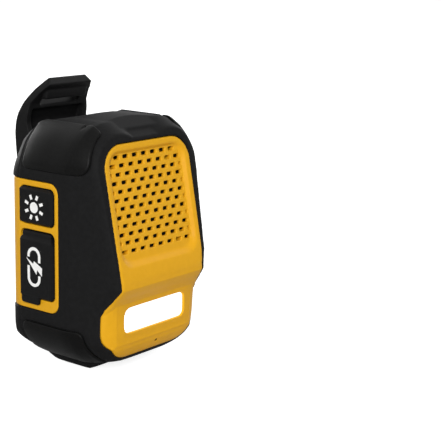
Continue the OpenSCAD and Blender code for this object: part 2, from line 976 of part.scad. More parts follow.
// rubber cover over the charging socket: rolled hinge edge at the top, finger tab below
module charge_cover() {
    color([0.07, 0.07, 0.07])
        mirror([1, 0, 0]) {
            intersection() {
                cap(pocket_x + 0.3, flap_z0, flap_z1, flap_z0, flap_z1, key_draft, 0);
                yz(pocket_x, key_x + 1)
                    rrect(key_y0, key_y1, flap_z0 - 6, flap_axis, 3.6);
                xz(key_y0 - 1, key_y1 + 1)
                    polygon([[pocket_x, flap_z0], [key_x + 1, flap_z0], [key_x + 1, flap_axis - 2.2],
                        [key_x, flap_axis - 2.2], [flap_x + flap_r, flap_axis - 0.95],
                        [flap_x + flap_r, flap_axis], [pocket_x, flap_axis]]);
            }
            rod_y(flap_x, key_y0 + 1.2, key_y1 - 1.2, flap_axis, flap_r);
            yz(usb_mouth - 0.4, pocket_x + 0.4)
                rrect(key_y - 1, key_y + 1, usb_z - 3.8, usb_z + 3.8, 0.9);
            yz(face_x + 0.15, key_x - 0.2)
                rrect(key_y - 1.8, key_y + 7.2, flap_z0 - 2.2, flap_z0 + 2, 0.9);
        }
}

module key_window(z0, z1) {
    yz(pocket_x - 1, face_x + 1)
        rrect(key_y0 - key_gap, key_y1 + key_gap, z0 - key_gap, z1 + key_gap, 2 + key_gap);
}

module side_panel_left() {
    color([0.87, 0.65, 0.13])
        mirror([1, 0, 0])
            difference() {
                side_panel();
                key_window(key_z, key_z + key_h);
                key_window(flap_z0, flap_z1);
            }
}

module side_panel_right() {
    color([0.87, 0.65, 0.13])
        difference() {
            side_panel();
            key_window(key_z, key_z + key_h);
            key_window(low_key_z0, low_key_z1);
        }
}

module corner_pad(top) {
    difference() {
        intersection() {
            env(pad_proud);
            pad_zone(top, 0);
        }
        env(-pad_sink);
    }
}

module pad_top_left() {
    color([0.06, 0.06, 0.06])
        mirror([1, 0, 0])
            corner_pad(true);
}

module pad_top_right() {
    color([0.06, 0.06, 0.06])
        corner_pad(true);
}

module pad_bottom_left() {
    color([0.06, 0.06, 0.06])
        mirror([1, 0, 0])
            corner_pad(false);
}

module pad_bottom_right() {
    color([0.06, 0.06, 0.06])
        corner_pad(false);
}

module base_pad() {
    color([0.05, 0.05, 0.05])
        difference() {
            box(-foot_w / 2 + 1.6, foot_w / 2 - 1.6, -foot_l / 2 + 1.6, foot_l / 2 - 1.6, 0, pad_h);
            for (i = [-1.5 : 1.5])
                box(i * 7 - 0.6, i * 7 + 0.6, -foot_l / 2 + 3.4, foot_l / 2 - 3.4, -1, 0.4);
        }
}

module housing_gasket() {
    color([0.1, 0.1, 0.11])
        xz(split_y, split_y + 0.8)
            gasket2(0.45, 1.35);
}

module housing_screws() {
    color([0.3, 0.3, 0.31])
        for (s = [-1, 1])
            for (z = [screw_low, screw_top])
                difference() {
                    union() {
                        rod_y(s * screw_x, chan_y, chan_y + 1.6, z, 2.4);
                        rod_y(s * screw_x, 5, chan_y + 0.1, z, screw_r);
                    }
                    box(s * screw_x - 1.4, s * screw_x + 1.4, chan_y + 0.7, chan_y + 3, z - 0.25, z + 0.25);
                    box(s * screw_x - 0.25, s * screw_x + 0.25, chan_y + 0.7, chan_y + 3, z - 1.4, z + 1.4);
                }
}

// clip: tray-shaped blade, shoulders and curl at the top, ears on the pin
module clip_outline2(d) {
    rrect(-clip_w / 2 + d, clip_w / 2 - d, clip_low + (d > 0 ? 2.6 : 0), 60, 3.2 - d);
    polygon([[-clip_w / 2 + d, 50], [clip_w / 2 - d, 50], [clip_w / 2 - d, 71.6],
        [shoulder_w / 2 - d, 73.4], [shoulder_w / 2 - d, 90], [shoulder_w / 2 - 0.9 - d, 94],
        [shoulder_w / 2 - 3.2 - d, 98.4], [8.6 - d * 0.7, 103.6 - d], [-8.6 + d * 0.7, 103.6 - d],
        [-shoulder_w / 2 + 3.2 + d, 98.4], [-shoulder_w / 2 + 0.9 + d, 94], [-shoulder_w / 2 + d, 90],
        [-shoulder_w / 2 + d, 73.4], [-clip_w / 2 + d, 71.6]]);
}

module clip_side2(t0, t1, z0, a1) {
    translate([clip_y - t1, z0])
        square([t1 - t0, curl_z - z0]);
    intersection() {
        translate([curl_y, curl_z])
            difference() {
                circle(r = curl_r - t0);
                circle(r = curl_r - t1);
            }
        translate([curl_y, curl_z])
            polygon([[0, 0], [80, 0], [80 * cos(a1 / 2) * 1.2, 80 * sin(a1 / 2) * 1.2],
                [80 * cos(a1), 80 * sin(a1)]]);
    }
}

// side walls of the clip: deep below the curl, shallower round the head
module clip_wall2() {
    intersection() {
        clip_side2(0, flange_d, clip_low, curl_end);
        translate([clip_y - flange_d, 0])
            square([flange_d + 1, 130]);
    }
    clip_side2(0, head_t, clip_low, curl_end);
}

module clip_lever() {
    color([0.11, 0.11, 0.115])
        difference() {
            union() {
                difference() {
                    intersection() {
                        xz(-10, 60)
                            clip_outline2(0);
                        yz(-40, 40)
                            clip_wall2();
                    }
                    intersection() {
                        xz(-10, 60)
                            clip_outline2(2.4);
                        yz(-40, 40)
                            clip_side2(clip_t, 18, clip_low, 25);
                    }
                }
                for (s = [0, 1])
                    mirror([s, 0, 0])
                        union() {
                            rod_x(ear_in, ear_out, pivot_y, pivot_z, ear_r);
                            box(ear_in, ear_out, pivot_y, clip_y - 1, pivot_z - ear_r, pivot_z + ear_r);
                        }
                for (a = [9, 13.5, 18])
                    translate([0, curl_y, curl_z])
                        rotate([a, 0, 0])
                            rod_x(-9.5, 9.5, curl_r - 0.2, 0, 0.7);
            }
            translate([0, curl_y, curl_z])
                rotate([33, 0, 0])
                    box(-lanyard_w / 2, lanyard_w / 2, curl_r - 8, curl_r + 8, -lanyard_h / 2, lanyard_h / 2);
            rod_x(-30, 30, pivot_y, pivot_z, pin_d / 2 + pin_gap);
        }
}

module clip_pin() {
    color([0.7, 0.7, 0.72])
        rod_x(-ear_out, ear_out, pivot_y, pivot_z, pin_d / 2);
}

// torsion spring: leg on the cover, five and a half turns round the pin, leg on the clip
spring_turns = 5.5;
spring_step = 12;
spring_n = spring_turns * spring_step;
spring_sides = 6;
spring_leg = 7.5;
spring_path = concat(
    [[-spring_turns * spring_pitch / 2, chan_y + spring_wire / 2 + 0.25, pivot_z + spring_leg, 180]],
    [for (i = [0 : spring_n])
        let (a = 180 + 360 * i / spring_step)
            [(i / spring_n - 0.5) * spring_turns * spring_pitch, pivot_y + spring_r * cos(a),
                pivot_z + spring_r * sin(a), a]],
    [[spring_turns * spring_pitch / 2, clip_y - clip_t - spring_wire / 2 - 0.3, pivot_z + spring_leg,
        180 + 360 * spring_turns]]);
spring_points = [for (p = spring_path)
    for (k = [0 : spring_sides - 1])
        let (t = 360 * k / spring_sides, u = spring_wire / 2 * cos(t))
            [p[0] + spring_wire / 2 * sin(t), p[1] + u * cos(p[3]), p[2] + u * sin(p[3])]];
spring_rings = len(spring_path);
spring_faces = concat(
    [for (i = [0 : spring_rings - 2])
        for (k = [0 : spring_sides - 1])
            let (a = i * spring_sides + k, b = i * spring_sides + (k + 1) % spring_sides)
                for (f = [[a, b, b + spring_sides], [a, b + spring_sides, a + spring_sides]])
                    f],
    [for (k = [1 : spring_sides - 2])
        [0, k + 1, k]],
    [for (k = [1 : spring_sides - 2])
        let (e = (spring_rings - 1) * spring_sides)
            [e, e + k, e + k + 1]]);
spring_least = min([for (i = [1 : spring_n])
    for (j = [i + 8 : spring_n + 1])
        norm([for (c = [0 : 2]) spring_path[i][c] - spring_path[j][c]])]) - spring_wire;
echo(spring_least_gap = spring_least);

module clip_spring() {
    color([0.66, 0.67, 0.7])
        polyhedron(points = spring_points, faces = spring_faces, convexity = 8);
}

front_housing();
rear_housing();
front_panel();
side_panel_left();
side_panel_right();
pad_top_left();
pad_top_right();
pad_bottom_left();
pad_bottom_right();
base_pad();
housing_gasket();
housing_screws();
acoustic_mesh();
driver_basket();
driver_magnet();
driver_cone();
driver_surround();
driver_screws();
light_lens();
light_reflector();
led_board();
light_leds();
microphone();
main_board();
board_parts();
switch_board_left();
switch_board_right();
tact_switches();
usb_socket();
battery_pack();
battery_tray();
speaker_leads();
led_leads();
light_button();
power_button();
volume_up_button();
volume_down_button();
charge_cover();
clip_lever();
clip_pin();
clip_spring();
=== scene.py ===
import json
import math

import bmesh
import bpy
import numpy as np
from mathutils import Matrix, Vector


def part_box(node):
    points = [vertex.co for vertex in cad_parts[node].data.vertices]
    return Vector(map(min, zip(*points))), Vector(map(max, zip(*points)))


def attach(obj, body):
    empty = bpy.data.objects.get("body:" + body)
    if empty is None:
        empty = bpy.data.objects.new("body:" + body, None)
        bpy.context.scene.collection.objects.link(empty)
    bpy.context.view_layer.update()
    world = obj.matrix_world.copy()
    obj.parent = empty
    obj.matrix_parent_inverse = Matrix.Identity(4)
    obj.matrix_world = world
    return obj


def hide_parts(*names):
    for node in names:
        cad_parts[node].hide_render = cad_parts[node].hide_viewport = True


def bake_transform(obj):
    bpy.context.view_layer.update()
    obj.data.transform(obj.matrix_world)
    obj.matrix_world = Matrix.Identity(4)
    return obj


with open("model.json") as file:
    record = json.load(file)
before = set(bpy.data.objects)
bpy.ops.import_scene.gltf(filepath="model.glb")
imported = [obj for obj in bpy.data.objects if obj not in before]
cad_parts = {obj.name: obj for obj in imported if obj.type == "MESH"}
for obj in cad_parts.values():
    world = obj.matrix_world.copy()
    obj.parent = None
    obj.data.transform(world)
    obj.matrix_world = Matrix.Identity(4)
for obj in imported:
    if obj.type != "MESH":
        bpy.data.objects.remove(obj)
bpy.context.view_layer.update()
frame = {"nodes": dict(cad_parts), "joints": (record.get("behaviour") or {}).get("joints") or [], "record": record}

scene = bpy.context.scene
scene.view_settings.view_transform = "Standard"


# Camera: the picture's front three-quarter view, from the left and a little above.
# Place, aim, roll and lens were solved from points of the object in the picture.
def linked(name, data):
    """New object in the scene."""
    obj = bpy.data.objects.new(name, data)
    scene.collection.objects.link(obj)
    return obj


eye = Vector((-0.33048, -0.30833, 0.15271))
aim = Vector((0.01751, -0.04054, 0.05473))
camera_roll = 0.0225
forward = (aim - eye).normalized()
level = forward.cross(Vector((0, 0, 1))).normalized()
upright = level.cross(forward)
right = level * math.cos(camera_roll) + upright * math.sin(camera_roll)
top = upright * math.cos(camera_roll) - level * math.sin(camera_roll)
camera_data = bpy.data.cameras.new("picture_camera")
camera_data.sensor_width = 36
camera_data.lens = 101.66
camera_data.clip_start = 0.01
camera = linked("picture_camera", camera_data)
camera.matrix_world = Matrix.Translation(eye) @ Matrix((right, top, -forward)).transposed().to_4x4()
scene.camera = camera


# Studio: white floor and white surround as on a product page. One large soft lamp stands
# high to the left before the grille, weaker ones above, right and behind draw the edges.
def put(tree, kind, plugs=None, **settings):
    """Adds one node to a tree, sets its options, and wires or fills the inputs named in plugs."""
    made = tree.nodes.new(kind)
    for key, value in settings.items():
        setattr(made, key, value)
    for key, value in (plugs or {}).items():
        if isinstance(value, bpy.types.NodeSocket):
            tree.links.new(value, made.inputs[key])
        else:
            made.inputs[key].default_value = value
    return made


world = bpy.data.worlds.new("studio")
scene.world = world
world.use_nodes = True
sky = world.node_tree
sky.nodes.clear()
rays = put(sky, "ShaderNodeLightPath")
seen = put(sky, "ShaderNodeMath", {0: rays.outputs["Is Camera Ray"], 1: rays.outputs["Is Glossy Ray"]},
           operation="ADD", use_clamp=True)
seen_through = put(sky, "ShaderNodeMath", {0: seen.outputs[0], 1: rays.outputs["Is Transmission Ray"]},
                   operation="ADD", use_clamp=True)
ambient_level = 0.3
ambient = put(sky, "ShaderNodeBackground", {"Color": (1, 1, 1, 1), "Strength": ambient_level})
white = put(sky, "ShaderNodeBackground", {"Color": (1, 1, 1, 1), "Strength": 1.0})
either = put(sky, "ShaderNodeMixShader", {0: seen_through.outputs[0], 1: ambient.outputs[0],
                                          2: white.outputs[0]})
put(sky, "ShaderNodeOutputWorld", {"Surface": either.outputs[0]})

floor_half = 3.0
floor_drop = 0.00005
floor_grey = 0.6
floor_lift = 0.84
corners = [(-1, -1), (1, -1), (1, 1), (-1, 1)]
floor_points = [(x * floor_half, y * floor_half, -floor_drop) for x, y in corners]
floor_mesh = bpy.data.meshes.new("floor")
floor_mesh.from_pydata(floor_points, [], [(0, 1, 2, 3)])
floor = linked("floor", floor_mesh)
floor_white = bpy.data.materials.new("floor_white")
floor_white.use_nodes = True
ground = floor_white.node_tree
ground.nodes.clear()
ground_rays = put(ground, "ShaderNodeLightPath")
ground_base = put(ground, "ShaderNodeBsdfDiffuse", {"Color": (floor_grey, floor_grey, floor_grey, 1)})
ground_lift = put(ground, "ShaderNodeEmission", {"Color": (floor_lift, floor_lift, floor_lift, 1),
                                                 "Strength": ground_rays.outputs["Is Camera Ray"]})
ground_sum = put(ground, "ShaderNodeAddShader", {0: ground_base.outputs[0], 1: ground_lift.outputs[0]})
put(ground, "ShaderNodeOutputMaterial", {"Surface": ground_sum.outputs[0]})
floor_mesh.materials.append(floor_white)


def lamp(name, place, target, size, watts):
    data = bpy.data.lights.new(name, "AREA")
    data.shape = "DISK"
    data.size = size
    data.energy = watts
    obj = linked(name, data)
    obj.location = place
    obj.rotation_euler = (Vector(target) - Vector(place)).to_track_quat("-Z", "Y").to_euler()


lamp("lamp_front", (-0.96, -0.76, 0.6), target=(0, 0, 0.05), size=0.6, watts=14.5)
lamp("lamp_top", (0.65, -0.2, 0.95), target=(0, 0, 0.06), size=0.5, watts=2.2)
lamp("lamp_right", (0.95, 0.1, 0.3), target=(0, 0, 0.05), size=0.5, watts=2.4)
lamp("lamp_behind", (0.3, 1.0, 0.3), target=(0, 0, 0.06), size=0.6, watts=5.0)


# Tub and rear cover: two halves of a black shock-proof housing, moulded in glass-filled
# plastic with a soft matte skin; edges are well rounded, and the halves meet on a fine
# parting line behind the keys. The cover carries the clip's channel and knuckles.
def blank_finish(name):
    """New material with its tree, its shader and the object's coordinates."""
    mat = bpy.data.materials.new(name)
    mat.use_nodes = True
    tree = mat.node_tree
    return mat, tree, tree.nodes["Principled BSDF"], put(tree, "ShaderNodeTexCoord").outputs["Object"]


def two_tone(tree, value, places, colours):
    """Colour that goes from one to another while a value goes between two places."""
    tint = put(tree, "ShaderNodeValToRGB", {"Fac": value})
    for stop, place, colour in zip(tint.color_ramp.elements, places, colours):
        stop.position = place
        stop.color = (*colour, 1)
    return tint.outputs["Color"]


def moulded(name, low, high, grain, depth, rough, specular, edge_highlight=0.0):
    """Moulded finish: faint mottling, fine spark-eroded grain, and a painted highlight that lightens the edges."""
    mottle_share, edge_reach, gloss_spread = 0.12, 0.0008, 0.06
    mat, tree, bsdf, coord = blank_finish(name)
    mottle = put(tree, "ShaderNodeTexNoise", {"Vector": coord, "Scale": grain * mottle_share, "Detail": 4.0})
    skin = two_tone(tree, mottle.outputs["Fac"], (0.35, 0.68), (low, high))
    # Painted highlight: the colour is lightened where the bevelled normal turns away from the face. It stands in
    # for light caught on rounded edges.
    if edge_highlight:
        round_off = put(tree, "ShaderNodeBevel", {"Radius": edge_reach}, samples=4)
        shape = put(tree, "ShaderNodeNewGeometry")
        facing = put(tree, "ShaderNodeVectorMath", {0: round_off.outputs[0], 1: shape.outputs["Normal"]},
                     operation="DOT_PRODUCT")
        edge_highlight_mask = put(tree, "ShaderNodeMapRange", {"Value": facing.outputs["Value"], "From Min": 0.98,
                                                  "From Max": 0.8, "To Max": edge_highlight})
        edge_highlight_tint = (*[min(1.0, c * 1.6 + 0.012) for c in high], 1)
        skin = put(tree, "ShaderNodeMix", {"Factor": edge_highlight_mask.outputs["Result"], "A": skin, "B": edge_highlight_tint},
                   data_type="RGBA").outputs["Result"]
    tree.links.new(skin, bsdf.inputs["Base Color"])
    fine = put(tree, "ShaderNodeTexNoise", {"Vector": coord, "Scale": float(grain), "Detail": 3.0})
    bump = put(tree, "ShaderNodeBump", {"Strength": 0.35, "Distance": depth, "Height": fine.outputs["Fac"]})
    tree.links.new(bump.outputs["Normal"], bsdf.inputs["Normal"])
    gloss = put(tree, "ShaderNodeMapRange", {"Value": mottle.outputs["Fac"], "To Min": rough - gloss_spread,
                                             "To Max": rough + gloss_spread})
    tree.links.new(gloss.outputs["Result"], bsdf.inputs["Roughness"])
    bsdf.inputs["Specular IOR Level"].default_value = specular
    return mat


def body_of(node):
    return next(b for b, held in frame["record"]["behaviour"]["bodies"].items() if node in held)


def settled(mesh, *steps):
    """What is left of a mesh after some modifiers, each given by its type and settings."""
    work = linked("work", mesh)
    for kind, settings in steps:
        step = work.modifiers.new(kind.lower(), kind)
        for key, value in settings.items():
            setattr(step, key, value)
    graph = bpy.context.evaluated_depsgraph_get()
    result = bpy.data.meshes.new_from_object(work.evaluated_get(graph))
    bpy.data.objects.remove(work)
    return result


def mesh_of(bm, name):
    """Mesh made from a bmesh, which is then let go."""
    mesh = bpy.data.meshes.new(name)
    bm.to_mesh(mesh)
    bm.free()
    return mesh


def merged(names, boxes=()):
    """Copy of CAD nodes in one mesh, doubles merged, with boxes (low corner, high corner) added."""
    bm = bmesh.new()
    for name in names:
        bm.from_mesh(frame["nodes"][name].data)
    for low, high in boxes:
        block = bmesh.ops.create_cube(bm, size=1)["verts"]
        bmesh.ops.scale(bm, vec=Vector(high) - Vector(low), verts=block)
        bmesh.ops.translate(bm, vec=(Vector(high) + Vector(low)) / 2, verts=block)
    bmesh.ops.remove_doubles(bm, verts=bm.verts, dist=1e-6)
    return mesh_of(bm, "merged")


def points_of(mesh):
    co = np.empty(len(mesh.vertices) * 3, np.float32)
    mesh.vertices.foreach_get("co", co)
    return co.reshape(-1, 3)


def clear_of(co, low, high, ramp):
    """0 inside a box, rising to 1 at a ramp's distance outside it."""
    gap = np.maximum(np.maximum(np.array(low) - co, co - np.array(high)), 0)
    return np.clip(np.linalg.norm(gap, axis=1) / ramp, 0, 1)


def smooth(part):
    """S-curve from 0 to 1."""
    return part * part * (3 - 2 * part)


# The easing pull is what smoothing moves on the skin of the whole body. It is strong at the
# chin and the rear corners, and nil at the side panels, slots, clip channel and arch. A grid
# of cells holds it, so that pieces that meet are moved alike.
ease_cell = 0.0006
ease_margin = 4
ease_ramp = 0.003
gentle_passes = 70
strong_passes = 220
strong_ramp = 0.005
body_nodes = ("front_housing", "rear_housing", "front_panel", "light_lens", "side_panel_left",
              "side_panel_right", "pad_top_left", "pad_top_right", "pad_bottom_left", "pad_bottom_right",
              "base_pad")
skin = settled(merged(body_nodes), ("REMESH", {"mode": "VOXEL", "voxel_size": ease_cell}))
sharp = points_of(skin)
gentle, strong = [points_of(settled(skin, ("SMOOTH", {"factor": 0.5, "iterations": n}))) - sharp
                  for n in (gentle_passes, strong_passes)]
chin_box = ((-0.05, -0.04, 0.004), (0.05, -0.012, 0.037))
rear_boxes = [((-0.05, -0.002, 0.074), (-0.017, 0.04, 0.12)),
              ((0.017, -0.002, 0.074), (0.05, 0.04, 0.12))]


def near_boxes(boxes):
    """1 in any of some boxes, falling to 0 at the ramp's distance from them."""
    return 1 - np.min([clear_of(sharp, low, high, strong_ramp) for low, high in boxes], axis=0)[:, None]


at_chin = near_boxes([chin_box])
at_rear = near_boxes(rear_boxes)
pull = gentle + (strong - gentle) * np.maximum(at_chin, at_rear)
pull[:, 2:] *= 1 - at_rear
cloth_low, cloth_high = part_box("acoustic_mesh")
clip_low, clip_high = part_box("clip_lever")
slots_box = (cloth_low + Vector((0.001, -0.02, 0.001)), cloth_high + Vector((-0.001, 0.01, -0.001)))
channel_box = (Vector((clip_low.x, 0.015, 0.011)), Vector((clip_high.x, 0.04, 0.084)))
arch_box = (Vector((-0.022, -0.04, 0.084)), Vector((0.022, 0.016, 0.12)))
kept_boxes = [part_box("side_panel_left"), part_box("side_panel_right"), slots_box, channel_box, arch_box]
for low, high in kept_boxes:
    pull *= clear_of(sharp, low, high, ease_ramp)[:, None]
corner_low, corner_front = 0.0715, 0.0
corner_rise, corner_depth = 0.01, 0.018
corner_spread, corner_pull = 0.01, 0.11
chin_top, chin_front, chin_fall = 0.0145, -0.01, 0.008
chin_push, chin_narrow = 0.0016, 0.05
up = np.clip((sharp[:, 2] - corner_low) / corner_rise, 0, 1)
back = np.clip((sharp[:, 1] - corner_front) / corner_depth, 0, 1)
wide = np.clip((abs(sharp[:, 0]) - clip_high.x) / corner_spread, 0, 1)
down = np.clip((chin_top - sharp[:, 2]) / chin_fall, 0, 1)
down = smooth(down * np.clip((chin_front - sharp[:, 1]) / chin_fall, 0, 1))
pull[:, 1] -= chin_push * down
pull[:, 0] -= chin_narrow * sharp[:, 0] * down
pull[:, 0] -= sharp[:, 0] * corner_pull * up * up * (3 - 2 * up) * back * back * wide
ease_low = sharp.min(0) - ease_margin * ease_cell
ease_n = np.ceil((sharp.max(0) - ease_low) / ease_cell).astype(int) + ease_margin + 1
total = np.zeros((*ease_n, 4), np.float32)
cells = tuple(((sharp - ease_low) / ease_cell).astype(int).T)
np.add.at(total, cells, np.column_stack([pull, np.ones(len(pull))]))


def blurred(sums, rounds):
    """Adds to each cell of the grid what its neighbours hold, a number of rounds over."""
    for axis in (0, 1, 2) * rounds:
        sums = sums + np.roll(sums, 1, axis) + np.roll(sums, -1, axis)
    return sums


def mean_pull(sums):
    """Mean of the pulls summed in each cell."""
    return sums[..., :3] / np.maximum(sums[..., 3:], 1e-6)


close_sums = blurred(total, 1)
far_sums = blurred(close_sums, 4)
pulls = np.where(close_sums[..., 3:] > 0, mean_pull(close_sums), mean_pull(far_sums))


def eased(co):
    """Points moved by the easing pull, read between the cells of its grid."""
    at = (co - ease_low) / ease_cell - 0.5
    base = np.clip(np.floor(at).astype(int), 0, ease_n - 2)
    part = np.clip(at - base, 0, 1)
    moved = np.array(co)
    for corner in np.ndindex(2, 2, 2):
        weight = np.prod(np.where(np.array(corner) == 1, part, 1 - part), axis=1)
        moved += weight[:, None] * pulls[tuple((base + corner).T)]
    return moved.astype(np.float32)


def soften(node, piece_name, voxel, passes, keep, paint, ease=True, boxes=(), shape=None):
    """Piece that stands for a CAD node, with its edges rounded as a mould rounds them."""
    mesh = settled(merged([node], boxes), ("REMESH", {"mode": "VOXEL", "voxel_size": voxel}))
    co = eased(points_of(mesh)) if ease else points_of(mesh)
    mesh.vertices.foreach_set("co", (shape(co) if shape else co).ravel())
    result = settled(mesh, ("SMOOTH", {"factor": 0.5, "iterations": passes}),
                     ("DECIMATE", {"ratio": keep}))
    result.shade_smooth()
    result.materials.clear()
    result.materials.append(paint)
    piece = linked(piece_name, result)
    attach(piece, body_of(node))
    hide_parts(node)
    return piece


housing_black = moulded("housing_black", (0.0088, 0.0088, 0.009), (0.0112, 0.0112, 0.0115),
                        grain=5200, depth=0.00006, rough=0.6, specular=0.05, edge_highlight=0.3)
for node, piece_name, passes in (("front_housing", "tub", 9), ("rear_housing", "cover", 7)):
    half = soften(node, piece_name, voxel=0.00045, passes=passes, keep=0.4, paint=housing_black)


# Seal and cover screws: a soft black cord of rubber lies in the cover's groove, and four
# pan-head steel screws go through the cover, under the clip, into bosses of the tub.
def dress(paint, *names):
    """Gives CAD nodes that are shown as they are their finish."""
    for name in names:
        for held in frame["nodes"][name].material_slots:
            held.material = paint


def metal(name, low, high, rough, streaks):
    """Worked metal: colour and gloss run in fine streaks along the direction it was drawn or turned."""
    gloss_spread = 0.08
    mat, tree, bsdf, coord = blank_finish(name)
    drawn = put(tree, "ShaderNodeMapping", {"Vector": coord, "Scale": streaks})
    line = put(tree, "ShaderNodeTexNoise", {"Vector": drawn.outputs[0], "Scale": 60.0, "Detail": 3.0})
    tint = two_tone(tree, line.outputs["Fac"], (0.3, 0.7), (low, high))
    tree.links.new(tint, bsdf.inputs["Base Color"])
    gloss = put(tree, "ShaderNodeMapRange", {"Value": line.outputs["Fac"], "To Min": rough - gloss_spread,
                                             "To Max": rough + gloss_spread})
    tree.links.new(gloss.outputs["Result"], bsdf.inputs["Roughness"])
    bump = put(tree, "ShaderNodeBump", {"Strength": 0.15, "Distance": 0.00002, "Height": line.outputs["Fac"]})
    tree.links.new(bump.outputs["Normal"], bsdf.inputs["Normal"])
    bsdf.inputs["Metallic"].default_value = 1.0
    return mat


def grow(piece_name, build, sizes, paint, body):
    """Runs a Geometry Nodes tree with named sizes and keeps its result as a plain mesh on a body."""
    tree = bpy.data.node_groups.new(piece_name + "_tree", "GeometryNodeTree")
    tree.interface.new_socket(name="Geometry", in_out="OUTPUT", socket_type="NodeSocketGeometry")
    kinds = {int: "NodeSocketInt", float: "NodeSocketFloat", tuple: "NodeSocketVector",
             bpy.types.Object: "NodeSocketObject"}
    sockets = {label: tree.interface.new_socket(name=label, in_out="INPUT", socket_type=kinds[type(value)])
               for label, value in sizes.items()}
    entry = put(tree, "NodeGroupInput")
    realized = put(tree, "GeometryNodeRealizeInstances", {0: build(tree, entry.outputs)})
    painted = put(tree, "GeometryNodeSetMaterial", {0: realized.outputs[0], "Material": paint})
    put(tree, "NodeGroupOutput", {0: painted.outputs[0]})
    piece = linked(piece_name, bpy.data.meshes.new(piece_name))
    growth = piece.modifiers.new("growth", "NODES")
    growth.node_group = tree
    for label, value in sizes.items():
        growth[sockets[label].identifier] = value
    graph = bpy.context.evaluated_depsgraph_get()
    mesh = bpy.data.meshes.new_from_object(piece.evaluated_get(graph))
    piece.modifiers.remove(growth)
    piece.data = mesh
    if body:
        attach(piece, body)
    return piece


def screw_form(head_r, head_h, shank_r, shank_l):
    """Pan-head screw turned round Z: head on the origin, shank down, a cross sunk in the head."""
    tip_r, rim_h = shank_r * 0.6, head_h * 0.5
    crown_r, crown_h, flat_r = head_r * 0.86, head_h * 0.86, head_r * 0.6
    profile = [(0, -shank_l), (tip_r, -shank_l), (shank_r, -shank_l + shank_r), (shank_r, 0), (head_r, 0),
               (head_r, rim_h), (crown_r, crown_h), (flat_r, head_h), (0, head_h)]
    bm = bmesh.new()
    points = [bm.verts.new((r, 0, z)) for r, z in profile]
    edges = [bm.edges.new(pair) for pair in zip(points, points[1:])]
    bmesh.ops.spin(bm, geom=points + edges, cent=(0, 0, 0), axis=(0, 0, 1), angle=2 * math.pi, steps=24)
    bmesh.ops.remove_doubles(bm, verts=bm.verts, dist=1e-7)
    bmesh.ops.recalc_face_normals(bm, faces=bm.faces)
    return linked("screw_form", mesh_of(bm, "screw_form"))


def four_screws(tree, size):
    """One screw with its cross cut out, set on the four corners of a rectangle and turned into place."""
    form = put(tree, "GeometryNodeObjectInfo", {"Object": size["Screw"]}).outputs["Geometry"]
    cross = put(tree, "GeometryNodeJoinGeometry")
    for arm in ("Slot X", "Slot Y"):
        bar = put(tree, "GeometryNodeMeshCube", {"Size": size[arm]})
        lifted = put(tree, "GeometryNodeTransform", {"Geometry": bar.outputs["Mesh"],
                                                     "Translation": size["Slot Place"]})
        tree.links.new(lifted.outputs[0], cross.inputs[0])
    cut = put(tree, "GeometryNodeMeshBoolean", {"Mesh 1": form, "Mesh 2": cross.outputs[0]},
              operation="DIFFERENCE")
    grid = put(tree, "GeometryNodeMeshGrid", {"Size X": size["Across"], "Size Y": size["Along"],
                                              "Vertices X": 2, "Vertices Y": 2})
    row = put(tree, "GeometryNodeInstanceOnPoints", {"Points": grid.outputs["Mesh"],
                                                     "Instance": cut.outputs[0]})
    return put(tree, "GeometryNodeTransform", {"Geometry": row.outputs[0], "Translation": size["Place"],
                                               "Rotation": size["Turn"]}).outputs[0]


def screws(piece_name, node, head_r, head_h, shank_r, shank_l, across, along, place, turn):
    form = screw_form(head_r, head_h, shank_r, shank_l)
    arm_long, arm_wide = head_r * 1.15, head_r * 0.24
    sizes = {"Screw": form, "Slot X": (arm_long, arm_wide, head_h), "Slot Y": (arm_wide, arm_long, head_h),
             "Slot Place": (0.0, 0.0, head_h), "Across": across, "Along": along, "Place": tuple(place),
             "Turn": (turn, 0.0, 0.0)}
    piece = grow(piece_name, four_screws, sizes, screw_black, body_of(node))
    bpy.data.objects.remove(form)
    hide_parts(node)


screw_black = metal("screw_black", (0.028, 0.028, 0.03), (0.05, 0.05, 0.053), rough=0.4,
                    streaks=(90.0, 90.0, 8.0))
seal_rubber = moulded("seal_rubber", (0.012, 0.012, 0.012), (0.018, 0.018, 0.018),
                      grain=4000, depth=0.00003, rough=0.7, specular=0.15)
dress(seal_rubber, "housing_gasket")
low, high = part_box("housing_screws")
cover_head_r = 0.0024
cover_head_h = 0.0016
screws("cover_screws", "housing_screws", cover_head_r, cover_head_h, shank_r=0.0012,
       shank_l=high.y - low.y - cover_head_h, across=high.x - low.x - 2 * cover_head_r,
       along=high.z - low.z - 2 * cover_head_r, place=(0.0, high.y - cover_head_h, (low.z + high.z) / 2),
       turn=-math.pi / 2)

# Corner pads and foot pad: soft rubber blocks let into the four corners to take a fall, and
# one under the foot, with a dull skin and a rounded border that leaves a fine groove.
pad_rubber = moulded("pad_rubber", (0.0036, 0.0036, 0.0035), (0.005, 0.005, 0.0049),
                     grain=7000, depth=0.00005, rough=0.42, specular=0.08, edge_highlight=0.25)
for corner in ("top_left", "top_right", "bottom_left", "bottom_right"):
    pad = soften("pad_" + corner, "corner_pad_" + corner, voxel=0.0003, passes=20, keep=0.5, paint=pad_rubber)
soften("base_pad", "foot_pad", voxel=0.0003, passes=4, keep=0.5, paint=pad_rubber)

